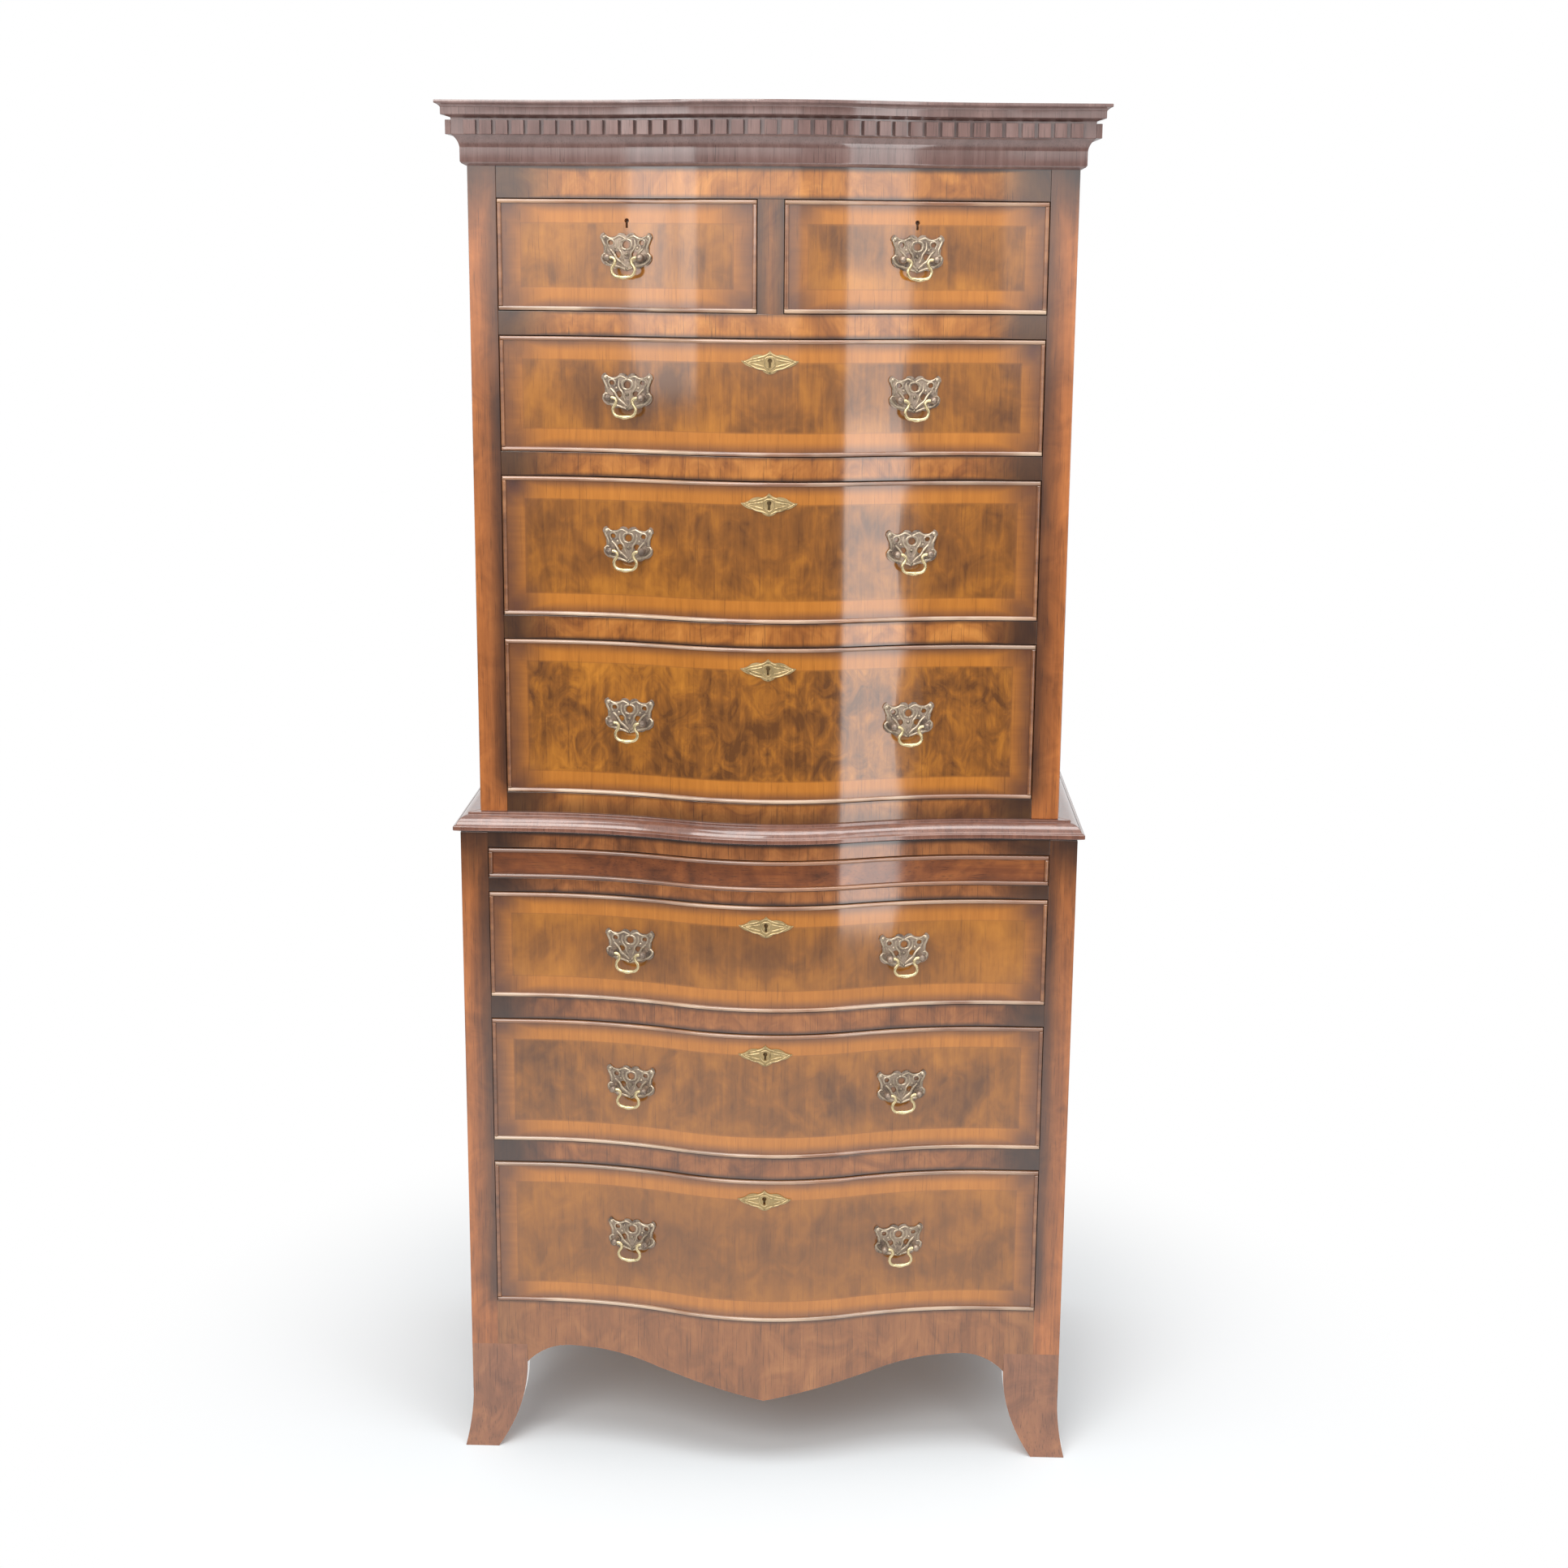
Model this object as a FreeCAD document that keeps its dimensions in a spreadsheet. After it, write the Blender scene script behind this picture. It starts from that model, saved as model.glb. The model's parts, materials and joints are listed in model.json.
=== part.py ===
import FreeCAD, Part
import math
import os

import Sketcher

# A serpentine chest-on-chest: a lower case on splayed bracket feet carries a brushing slide and three
# long drawers, and an upper case under a dentil cornice carries three long and two short drawers.
# Front faces look along -Y, the floor is Z = 0, and the origin lies under the middle of the whole piece.

# Driving dimensions, in millimetres
SIZES = {
    # Plan of the two cases
    "upper_width": 657,
    "lower_width": 700,
    "case_depth": 430,
    "upper_setback": 12,
    # Serpentine front: a convex middle between two concave flanks, flat towards the stiles
    "bulge": 44,
    "curve_span": 265,
    "convex_share": 0.38,
    # Heights, from the floor up
    "foot_height": 129,
    "base_height": 185,
    "drawer_7_height": 177,
    "drawer_6_height": 150,
    "drawer_5_height": 126,
    "slide_rail_height": 16,
    "slide_height": 36,
    "lower_top_height": 18,
    "waist_height": 21,
    "upper_base_height": 23,
    "drawer_4_height": 177,
    "drawer_3_height": 156,
    "drawer_2_height": 126,
    "drawer_1_height": 119,
    "rail_height": 26,
    "frieze_height": 33,
    "cornice_height": 67,
    # Case construction
    "stile_width": 31,
    "side_thick": 18,
    "rail_depth": 60,
    "board_thick": 18,
    "top_recess": 8,
    "back_thick": 6,
    "back_land": 9,
    "muntin_width": 28,
    "runner_thick": 18,
    "runner_bearing": 17,
    "guide_height": 14,
    "apron_thick": 15,
    # Cornice, dentils and waist moulding
    "cornice_projection": 29.5,
    "dentil_width": 12.8,
    "dentil_gap": 4.4,
    "dentil_height": 15,
    "dentil_thick": 6,
    "dentil_seat": 0.06,
    "waist_projection": 7.5,
    "waist_bearing": 42,
    # Feet and apron
    "foot_width": 66,
    "foot_toe_width": 31,
    "foot_knee_height": 106,
    "foot_splay": 9,
    "foot_splay_height": 70,
    "foot_wall": 20,
    "block_width": 28,
    "block_lift": 25,
    "apron_point_height": 84,
    "apron_peak_height": 129.5,
    "apron_peak_place": 232,
    "apron_turn_place": 125,
    "apron_turn_height": 112.5,
    # Drawers
    "drawer_gap": 0.8,
    "running_gap": 0.3,
    "front_thick": 20,
    "bead_width": 4.5,
    "bead_projection": 3,
    "bead_depth": 8,
    "drawer_length": 385,
    "lining_thick": 12,
    "lining_drop": 9,
    "lap": 9,
    "bottom_thick": 6,
    "bottom_lift": 8,
    "groove_depth": 5,
    "drawer_back_thick": 10,
    "drawer_back_drop": 4,
    "slide_length": 330,
    "slide_board_thick": 18,
    # Handles
    "handle_drop": 2,
    "plate_width": 58,
    "plate_height": 40,
    "plate_thick": 1.6,
    "plate_seat": 0.2,
    "post_spacing": 37,
    "post_reach": 11,
    "post_head": 8.6,
    "post_neck": 5.4,
    "post_flange": 8.8,
    "post_flange_thick": 1.6,
    "post_shank": 5,
    "post_seat": 0.2,
    "shank_clearance": 0.2,
    "nut_width": 10,
    "nut_thick": 4,
    "bail_wire": 3.6,
    "bail_clearance": 0.3,
    "bail_shoulder": 4,
    "bail_neck": 6,
    "bail_hip": 7,
    "bail_pin": 1,
    "bail_gap": 1,
    # Locks and escutcheons
    "keyhole_drop": 23,
    "keyhole_width": 5,
    "keyhole_slot": 2.6,
    "keyhole_length": 7.5,
    "escutcheon_width": 62,
    "escutcheon_height": 25,
    "escutcheon_thick": 1.2,
    "lock_width": 40,
    "lock_height": 34,
    "lock_cover": 9,
    "bolt_width": 12,
    "bolt_thick": 4,
    "bolt_height": 18,
    "bolt_throw": 6,
    "bolt_clearance": 0.3,
    "mortise_spare": 1.5,
    # Overrun of every cutting or trimming solid
    "overrun": 10,
}

# Places worked out from the driving dimensions
PLAN = {
    "convex_radius": "size.convex_share * (size.bulge^2 + size.curve_span^2) / (2 * size.bulge)",
    "concave_radius": "(1 - size.convex_share) * (size.bulge^2 + size.curve_span^2) / (2 * size.bulge)",
    "radius_sum": "plan.convex_radius + plan.concave_radius",
    "lower_half": "size.lower_width / 2",
    "upper_half": "size.upper_width / 2",
    "lower_opening": "plan.lower_half - size.stile_width",
    "upper_opening": "plan.upper_half - size.stile_width",
    "lower_inside": "plan.lower_half - size.side_thick",
    "upper_inside": "plan.upper_half - size.side_thick",
    "lower_depth": "size.case_depth",
    "upper_depth": "size.case_depth - size.upper_setback",
    "drawer_7_bottom": "size.base_height",
    "drawer_7_top": "plan.drawer_7_bottom + size.drawer_7_height",
    "drawer_6_bottom": "plan.drawer_7_top + size.rail_height",
    "drawer_6_top": "plan.drawer_6_bottom + size.drawer_6_height",
    "drawer_5_bottom": "plan.drawer_6_top + size.rail_height",
    "drawer_5_top": "plan.drawer_5_bottom + size.drawer_5_height",
    "slide_bottom": "plan.drawer_5_top + size.slide_rail_height",
    "slide_top": "plan.slide_bottom + size.slide_height",
    "waist_bottom": "plan.slide_top + size.lower_top_height",
    "waist_top": "plan.waist_bottom + size.waist_height",
    "drawer_4_bottom": "plan.waist_top + size.upper_base_height",
    "drawer_4_top": "plan.drawer_4_bottom + size.drawer_4_height",
    "drawer_3_bottom": "plan.drawer_4_top + size.rail_height",
    "drawer_3_top": "plan.drawer_3_bottom + size.drawer_3_height",
    "drawer_2_bottom": "plan.drawer_3_top + size.rail_height",
    "drawer_2_top": "plan.drawer_2_bottom + size.drawer_2_height",
    "drawer_1_bottom": "plan.drawer_2_top + size.rail_height",
    "drawer_1_top": "plan.drawer_1_bottom + size.drawer_1_height",
    "cornice_bottom": "plan.drawer_1_top + size.frieze_height",
    "cornice_top": "plan.cornice_bottom + size.cornice_height",
    "case_top": "plan.cornice_top - size.top_recess",
    "front_overhang": "size.bulge + size.cornice_projection - size.upper_setback",
    "lower_y": "(plan.front_overhang - size.case_depth) / 2",
    "upper_y": "plan.lower_y + size.upper_setback",
    "handle_x": "(plan.upper_opening + size.muntin_width / 2) / 2",
    "handle_run": "size.curve_span - plan.handle_x",
    "handle_y": "sqrt(plan.concave_radius^2 - plan.handle_run^2) - plan.concave_radius",
    "handle_turn": "asin(plan.handle_run / plan.concave_radius)",
    "post_half": "size.post_spacing / 2",
    "post_lift": "plan.concave_radius - sqrt(plan.concave_radius^2 - plan.post_half^2)",
    "post_base": "size.plate_seat + size.plate_thick + plan.post_lift + size.post_seat",
    "pin_y": "plan.post_base + size.post_reach",
    "front_back": "size.front_thick - size.bulge",
    "bolt_y": "size.lock_cover + (size.front_thick - size.lock_cover) / 2",
}

CASES = ("lower", "upper")

doc = FreeCAD.newDocument("chest_on_chest")


def sheet(name, cells):
    """Writes a sheet with one named cell per row."""
    table = doc.addObject("Spreadsheet::Sheet", name)
    for row, (alias, content) in enumerate(cells.items(), start=1):
        table.set(f"A{row}", alias)
        table.setAlias(f"B{row}", alias)
        table.set(f"B{row}", content)
    doc.recompute()
    return table


size = sheet("size", {alias: str(number) for alias, number in SIZES.items()})
plan = sheet("plan", {alias: "=" + formula for alias, formula in PLAN.items()})


def value(expression):
    """The present number behind an expression on the two sheets."""
    return float(plan.evalExpression(expression))


def bind(thing, **expressions):
    for path, expression in expressions.items():
        thing.setExpression(path.replace("__", "."), expression)


def place(thing, x="0 mm", y="0 mm", z="0 mm", turn=None):
    """Puts a piece at a place on the plan, turned about the upright axis."""
    if turn:
        thing.Placement = FreeCAD.Placement(FreeCAD.Vector(), FreeCAD.Rotation(FreeCAD.Vector(0, 0, 1), 1))
        thing.setExpression("Placement.Rotation.Angle", turn)
    bind(thing, Placement__Base__x=x, Placement__Base__y=y, Placement__Base__z=z)
    return thing


def box(name, x, y, z):
    """A board between two limits along each axis."""
    board = doc.addObject("Part::Box", name)
    bind(board, Length=f"({x[1]}) - ({x[0]})", Width=f"({y[1]}) - ({y[0]})", Height=f"({z[1]}) - ({z[0]})")
    return place(board, x[0], y[0], z[0])


def common(name, first, second):
    overlap = doc.addObject("Part::Common", name)
    overlap.Base = first
    overlap.Tool = second
    return overlap


def cut(name, base, *tools):
    for number, tool in enumerate(tools, start=1):
        rest = doc.addObject("Part::Cut", f"{name}_cut_{number}")
        rest.Base = base
        rest.Tool = tool
        base = rest
    return base


def group(name, pieces):
    """Pieces that make up one named node, each still a solid of its own."""
    node = doc.addObject("Part::Compound", name)
    node.Links = pieces
    node.Label = name
    return node


def body(name):
    return doc.addObject("PartDesign::Body", name)


def sketch_on(owner, role, lift=None):
    """An empty sketch on one of a body's own planes, lifted along the plane's normal."""
    drawing = owner.newObject("Sketcher::SketchObject", f"{owner.Name}_sketch")
    plane = next(feature for feature in owner.Origin.OriginFeatures if feature.Role == role)
    drawing.AttachmentSupport = (plane, [""])
    drawing.MapMode = "FlatFace"
    if lift:
        drawing.setExpression("AttachmentOffset.Base.z", lift)
    return drawing


def arc_between(start, end, radius, side):
    """The short arc from start to end, with its centre on the left (1) or the right (-1) of the way."""
    chord = end - start
    middle = (start + end) * 0.5
    leftward = FreeCAD.Vector(-chord.y, chord.x, 0).normalize()
    centre = middle + leftward * (side * math.sqrt(max(radius**2 - (chord.Length / 2) ** 2, 0)))
    circle = Part.Circle(centre, FreeCAD.Vector(0, 0, 1), radius)
    first, last = (start, end) if side > 0 else (end, start)
    first_angle = math.atan2(first.y - centre.y, first.x - centre.x)
    last_angle = math.atan2(last.y - centre.y, last.x - centre.x)
    return Part.ArcOfCircle(circle, first_angle, last_angle)


def draw(drawing, points, arcs=None, closed=True):
    """Draws an outline whose corners, and whose arcs' radii, are expressions on the sheets."""
    arcs = arcs or {}
    corners = [FreeCAD.Vector(value(x), value(y), 0) for x, y in points]
    edge_total = len(points) if closed else len(points) - 1
    first_edge = drawing.GeometryCount
    ends = []
    for number in range(edge_total):
        start, end = corners[number], corners[(number + 1) % len(corners)]
        if number in arcs:
            radius, side = arcs[number]
            drawing.addGeometry(arc_between(start, end, value(radius), side), False)
            ends.append((1, 2) if side > 0 else (2, 1))
        else:
            drawing.addGeometry(Part.LineSegment(start, end), False)
            ends.append((1, 2))
    rules = []
    named = []
    for number in range(edge_total if closed else edge_total - 1):
        following = (number + 1) % edge_total
        leave, arrive = ends[number][1], ends[following][0]
        rules.append(
            Sketcher.Constraint("Coincident", first_edge + number, leave, first_edge + following, arrive)
        )
    for number, (x, y) in enumerate(points):
        edge = number if number < edge_total else edge_total - 1
        end = ends[edge][0] if number < edge_total else ends[edge][1]
        corner = corners[number]
        for kind, expression, amount in (("DistanceX", x, corner.x), ("DistanceY", y, corner.y)):
            named.append((len(rules), expression))
            rules.append(Sketcher.Constraint(kind, -1, 1, first_edge + edge, end, amount))
    for number, (radius, side) in arcs.items():
        named.append((len(rules), radius))
        rules.append(Sketcher.Constraint("Radius", first_edge + number, value(radius)))
    first_rule = drawing.ConstraintCount
    drawing.addConstraint(rules)
    for number, expression in named:
        drawing.setExpression(f"Constraints[{first_rule + number}]", expression)
    return drawing


def ring(drawing, x, y, radius):
    """Adds a circle to a sketch."""
    centre = FreeCAD.Vector(value(x), value(y), 0)
    edge = drawing.addGeometry(Part.Circle(centre, FreeCAD.Vector(0, 0, 1), value(radius)), False)
    first_rule = drawing.ConstraintCount
    drawing.addConstraint(
        [
            Sketcher.Constraint("DistanceX", -1, 1, edge, 3, centre.x),
            Sketcher.Constraint("DistanceY", -1, 1, edge, 3, centre.y),
            Sketcher.Constraint("Radius", edge, value(radius)),
        ]
    )
    for number, expression in enumerate((x, y, radius)):
        drawing.setExpression(f"Constraints[{first_rule + number}]", expression)


def pad(owner, drawing, length, back=False):
    """Gives a sketch its thickness along the normal of its plane, or against it."""
    solid = owner.newObject("PartDesign::Pad", f"{owner.Name}_pad")
    solid.Profile = drawing
    solid.Reversed = back
    solid.setExpression("Length", length)
    owner.Tip = solid
    return owner


def serpentine(outward, half):
    """Corners and arcs of the front's plan from left to right, moved outward by a parallel distance."""
    reach = f"(plan.convex_radius + ({outward}))"
    turn_x = f"size.curve_span * {reach} / plan.radius_sum"
    turn_y = f"plan.convex_radius - size.bulge + {reach} * (size.bulge - plan.radius_sum) / plan.radius_sum"
    flat = f"-({outward})"
    points = [
        (f"-({half})", flat),
        ("-size.curve_span", flat),
        (f"-{turn_x}", turn_y),
        (turn_x, turn_y),
        ("size.curve_span", flat),
        (half, flat),
    ]
    concave = f"plan.concave_radius - ({outward})"
    convex = f"plan.convex_radius + ({outward})"
    return points, {1: (concave, -1), 2: (convex, 1), 3: (concave, -1)}


def slab(name, case, outward, inward=None, straight=None):
    """A full-height solid behind the serpentine, with a parallel back or a straight one."""
    owner = body(name)
    half = f"plan.{case}_half"
    points, arcs = serpentine(outward, half)
    if straight:
        points += [(half, straight), (f"-{half}", straight)]
    else:
        back, back_arcs = serpentine(f"-({inward})", half)
        shift = len(points)
        points += back[::-1]
        arcs.update({shift + 4 - number: (radius, -side) for number, (radius, side) in back_arcs.items()})
    drawing = draw(sketch_on(owner, "XY_Plane"), points, arcs)
    pad(owner, drawing, "plan.cornice_top + size.overrun")
    return place(owner, y=f"plan.{case}_y")


# Plan solids that the curved pieces are sawn from
front_stock = {}
rail_stock = {}
bead_stock = {}
floor_stock = {}
plate_stock = {}
escutcheon_stock = {}
for case in CASES:
    front_stock[case] = slab(f"{case}_front_stock", case, "0", inward="size.front_thick")
    rail_stock[case] = slab(f"{case}_rail_stock", case, "0", straight="size.rail_depth")
    bead_stock[case] = slab(f"{case}_bead_stock", case, "size.bead_projection", inward="size.bead_depth")
    floor_stock[case] = slab(
        f"{case}_floor_stock", case, "size.groove_depth - size.front_thick", straight="size.case_depth"
    )
    seat = "size.plate_seat"
    plate_stock[case] = slab(f"{case}_plate_stock", case, f"{seat} + size.plate_thick", inward=f"-{seat}")
    escutcheon_stock[case] = slab(
        f"{case}_escutcheon_stock", case, f"{seat} + size.escutcheon_thick", inward=f"-{seat}"
    )
apron_stock = slab("apron_stock", "lower", "0", inward="size.apron_thick")

nodes = []


# Case sides: a panel with a stile along its front edge and a rebate for the back
def case_side(case, hand):
    owner = body(f"{case}_side_{'right' if hand > 0 else 'left'}")
    half, depth = f"plan.{case}_half", f"plan.{case}_depth"
    rebate = f"{depth} - size.back_thick"
    points = [
        (half, "0"),
        (half, depth),
        (f"{half} - size.back_land", depth),
        (f"{half} - size.back_land", rebate),
        (f"plan.{case}_inside", rebate),
        (f"plan.{case}_inside", "size.rail_depth"),
        (f"plan.{case}_opening", "size.rail_depth"),
        (f"plan.{case}_opening", "0"),
    ]
    points = [(x if hand > 0 else f"-({x})", y) for x, y in points]
    bottom, top = case_span(case)
    pad(owner, draw(sketch_on(owner, "XY_Plane"), points), f"{top} - {bottom}")
    return place(owner, y=f"plan.{case}_y", z=bottom)


def case_span(case):
    """The bottom and top of a case's sides and back."""
    spans = {"lower": ("size.foot_height", "plan.waist_bottom"), "upper": ("plan.waist_top", "plan.case_top")}
    return spans[case]


for case in CASES:
    nodes.append(group(f"{case}_case_sides", [case_side(case, -1), case_side(case, 1)]))


def case_board(name, case, top):
    """A board across a case behind its front rail, from side to side and up to the back."""
    return box(
        name,
        (f"-plan.{case}_inside", f"plan.{case}_inside"),
        (f"plan.{case}_y + size.rail_depth", f"plan.{case}_y + plan.{case}_depth - size.back_thick"),
        (f"{top} - size.board_thick", top),
    )


nodes.append(
    group(
        "case_boards",
        [
            case_board("upper_top_board", "upper", "plan.case_top"),
            case_board("upper_bottom_board", "upper", "plan.drawer_4_bottom"),
            case_board("lower_top_board", "lower", "plan.waist_bottom"),
            case_board("lower_bottom_board", "lower", "plan.drawer_7_bottom"),
        ],
    )
)


def back_panel(case):
    half, back = f"plan.{case}_half - size.back_land", f"plan.{case}_y + plan.{case}_depth"
    return box(f"{case}_back", (f"-({half})", half), (f"{back} - size.back_thick", back), case_span(case))


nodes.append(group("back_panels", [back_panel(case) for case in CASES]))


# Drawers: name, case, opening from left to right, bottom and top, the handles' places, the lock's place
def drawer_row(number, case):
    return {
        "name": f"drawer_{number}",
        "case": case,
        "left": f"-plan.{case}_opening",
        "right": f"plan.{case}_opening",
        "faces": ("size.front_thick", "size.front_thick"),
        "bottom": f"plan.drawer_{number}_bottom",
        "top": f"plan.drawer_{number}_top",
        "handles": {"_left": -1, "_right": 1},
        "lock": 0,
    }


LONG_DRAWERS = {2: "upper", 3: "upper", 4: "upper", 5: "lower", 6: "lower", 7: "lower"}
DRAWERS = []
for hand, side in ((-1, "left"), (1, "right")):
    short = drawer_row(1, "upper")
    inner = "size.muntin_width / 2"
    short["name"] = f"drawer_1_{side}"
    if hand < 0:
        short["right"] = f"-{inner}"
    else:
        short["left"] = inner
    faces = ("size.front_thick", "plan.front_back")
    short["faces"] = faces if hand < 0 else faces[::-1]
    short["handles"] = {"": hand}
    short["lock"] = hand
    DRAWERS.append(short)
DRAWERS += [drawer_row(number, case) for number, case in LONG_DRAWERS.items()]


def on_front(case, hand, deeper="0"):
    """Place and turn of something fixed at the handles' line (hand -1 or 1) or at the middle (hand 0)."""
    if hand == 0:
        return {"x": "0 mm", "y": f"plan.{case}_y - size.bulge + ({deeper})"}
    sign = "" if hand > 0 else "-"
    return {
        "x": f"{sign}(plan.handle_x - ({deeper}) * sin(plan.handle_turn))",
        "y": f"plan.{case}_y + plan.handle_y + ({deeper}) * cos(plan.handle_turn)",
        "turn": f"{sign}plan.handle_turn",
    }


def bolt_box(name, drawer, grow, low, high):
    """An upright bar on the bolt's line, grown on all four sides."""
    wide = f"size.bolt_width / 2 + {grow}"
    thick = f"size.bolt_thick / 2 + {grow}"
    owner = body(name)
    points = [(f"-({wide})", f"-({thick})"), (wide, f"-({thick})"), (wide, thick), (f"-({wide})", thick)]
    pad(owner, draw(sketch_on(owner, "XY_Plane"), points), f"({high}) - ({low})")
    return place(owner, z=low, **on_front(drawer["case"], drawer["lock"], "plan.bolt_y"))


def rail(name, case, bottom, top, stock=None, ends=None, locks=()):
    """A front rail between two heights, mortised for the bolts that rise into it."""
    left, right = ends or (f"-plan.{case}_opening", f"plan.{case}_opening")
    blank = box(
        f"{name}_blank",
        (left, right),
        (f"plan.{case}_y - size.bulge - size.overrun", f"plan.{case}_y + plan.{case}_depth"),
        (bottom, top),
    )
    piece = common(name, stock or rail_stock[case], blank)
    high = f"{bottom} + size.bolt_throw + size.mortise_spare"
    low = f"{bottom} - size.overrun"
    mortises = [
        bolt_box(f"{drawer['name']}_mortise", drawer, "size.bolt_clearance", low, high) for drawer in locks
    ]
    return cut(name, piece, *mortises)


short_drawers = DRAWERS[: -len(LONG_DRAWERS)]
long_drawers = dict(zip(LONG_DRAWERS, DRAWERS[len(short_drawers) :]))
nodes.append(
    group(
        "upper_rails",
        [
            rail("frieze", "upper", "plan.drawer_1_top", "plan.case_top", locks=short_drawers),
            rail("rail_1", "upper", "plan.drawer_2_top", "plan.drawer_1_bottom", locks=[long_drawers[2]]),
            rail("rail_2", "upper", "plan.drawer_3_top", "plan.drawer_2_bottom", locks=[long_drawers[3]]),
            rail("rail_3", "upper", "plan.drawer_4_top", "plan.drawer_3_bottom", locks=[long_drawers[4]]),
            rail("upper_base_rail", "upper", "plan.waist_top", "plan.drawer_4_bottom"),
        ],
    )
)
base_bottom = "plan.drawer_7_bottom - size.board_thick"
nodes.append(
    group(
        "lower_rails",
        [
            rail("lower_top_rail", "lower", "plan.slide_top", "plan.waist_bottom"),
            rail("slide_rail", "lower", "plan.drawer_5_top", "plan.slide_bottom", locks=[long_drawers[5]]),
            rail("rail_5", "lower", "plan.drawer_6_top", "plan.drawer_5_bottom", locks=[long_drawers[6]]),
            rail("rail_6", "lower", "plan.drawer_7_top", "plan.drawer_6_bottom", locks=[long_drawers[7]]),
            cut(
                "lower_base_rail",
                rail("lower_base_rail", "lower", base_bottom, "plan.drawer_7_bottom"),
                apron_stock,
            ),
        ],
    )
)

# Upright muntin between the two short drawers, with the partition that guides them behind it
muntin_ends = ("-size.muntin_width / 2", "size.muntin_width / 2")
partition = box(
    "partition",
    muntin_ends,
    ("plan.upper_y + size.rail_depth", "plan.upper_y + plan.upper_depth - size.back_thick"),
    ("plan.drawer_1_bottom", "plan.case_top - size.board_thick"),
)
muntin = rail("muntin", "upper", "plan.drawer_1_bottom", "plan.drawer_1_top", ends=muntin_ends)
nodes.append(group("drawer_partition", [muntin, partition]))


# Runners under the drawers' sides and guides beside them
def runner(name, case, top, hand):
    """A runner and the guide on it, for one side of a drawer (hand -1 or 1)."""
    inner = f"plan.{case}_opening - size.runner_bearing"
    length = (f"plan.{case}_y + size.rail_depth", f"plan.{case}_y + plan.{case}_depth - size.back_thick")

    def across(low, high):
        return (low, high) if hand > 0 else (f"-({high})", f"-({low})")

    bearer = box(
        f"{name}_runner",
        across(inner, f"plan.{case}_inside"),
        length,
        (f"{top} - size.runner_thick", top),
    )
    guide = box(
        f"{name}_guide",
        across(f"plan.{case}_opening", f"plan.{case}_inside"),
        length,
        (top, f"{top} + size.guide_height"),
    )
    return bearer, guide


runners = []
for name, case, top, on_board in (
    ("drawer_1", "upper", "plan.drawer_1_bottom", False),
    ("drawer_2", "upper", "plan.drawer_2_bottom", False),
    ("drawer_3", "upper", "plan.drawer_3_bottom", False),
    ("drawer_4", "upper", "plan.drawer_4_bottom", True),
    ("slide", "lower", "plan.slide_bottom", False),
    ("drawer_5", "lower", "plan.drawer_5_bottom", False),
    ("drawer_6", "lower", "plan.drawer_6_bottom", False),
    ("drawer_7", "lower", "plan.drawer_7_bottom", True),
):
    for hand, side in ((-1, "left"), (1, "right")):
        bearer, guide = runner(f"{name}_{side}", case, top, hand)
        runners += [guide] if on_board else [bearer, guide]
middle_bearing = "size.muntin_width / 2 + size.runner_bearing"
runners.append(
    box(
        "middle_runner",
        (f"-({middle_bearing})", middle_bearing),
        ("plan.upper_y + size.rail_depth", "plan.upper_y + plan.upper_depth - size.back_thick"),
        ("plan.drawer_1_bottom - size.runner_thick", "plan.drawer_1_bottom"),
    )
)
nodes.append(group("drawer_runners", runners))

# Cornice and waist profiles, as shares of their projection and height, from the case outward
CORNICE_SHARES = [
    (0, 0),
    (0.17, 0.04),
    (0.22, 0.07),
    (0.22, 0.28),
    (0.48, 0.48),
    (0.48, 0.74),
    (0.8, 0.78),
    (0.8, 0.89),
    (1, 0.95),
    (1, 1),
    (0, 1),
]
COVE_SHARE = 0.62
COVE_EDGE = 3
CYMA_SHARE = 0.3
CYMA_EDGE = 7
WAIST_SHARES = [
    (0, 0),
    (1, 0.12),
    (1, 0.34),
    (0.55, 0.42),
    (-0.9, 0.85),
    (-1.05, 0.85),
    (-1.05, 1),
]
OVOLO_SHARE = 1.7
OVOLO_EDGE = 3


def moulding(name, case, shares, arcs, reach, bottom, height, bearing="0"):
    """A moulding in three mitred lengths: a serpentine front and two straight returns."""
    half, depth = f"plan.{case}_half", f"plan.{case}_depth"
    spread = f"(size.bulge + {reach} + size.overrun)"
    profile = [(f"{out} * {reach}", f"{up} * {height}") for out, up in shares]
    if bearing != "0":
        profile += [(f"-{bearing}", height), (f"-{bearing}", "0")]

    front = body(f"{name}_front_length")
    run_points, run_arcs = serpentine("0", f"{half} + {spread}")
    run = draw(sketch_on(front, "XY_Plane"), run_points, run_arcs, closed=False)
    section = sketch_on(front, "YZ_Plane", lift=f"-({half} + {spread})")
    mirrored = {edge: (radius, -side) for edge, (radius, side) in arcs.items()}
    draw(section, [(f"-({out})", up) for out, up in profile], mirrored)
    pipe = front.newObject("PartDesign::AdditivePipe", f"{name}_pipe")
    pipe.Profile = section
    pipe.Spine = (run, [f"Edge{number}" for number in range(1, len(run_points))])
    front.Tip = pipe
    place(front, y=f"plan.{case}_y", z=bottom)

    middle_sector = mitre_sector(f"{name}_front_sector", case, spread, bearing, 0)
    lengths = [common(f"{name}_front", front, middle_sector)]
    for hand, side in ((-1, "left"), (1, "right")):
        owner = body(f"{name}_{side}_length")
        sign = "" if hand > 0 else "-"
        points = [(f"{sign}({half} + {out})", up) for out, up in profile]
        turned = arcs if hand > 0 else mirrored
        drawing = draw(sketch_on(owner, "XZ_Plane", lift=spread), points, turned)
        pad(owner, drawing, f"{depth} + {spread}", back=True)
        place(owner, y=f"plan.{case}_y", z=bottom)
        sector = mitre_sector(f"{name}_{side}_sector", case, spread, bearing, hand)
        lengths.append(common(f"{name}_{side}", owner, sector))
    return lengths


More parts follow.
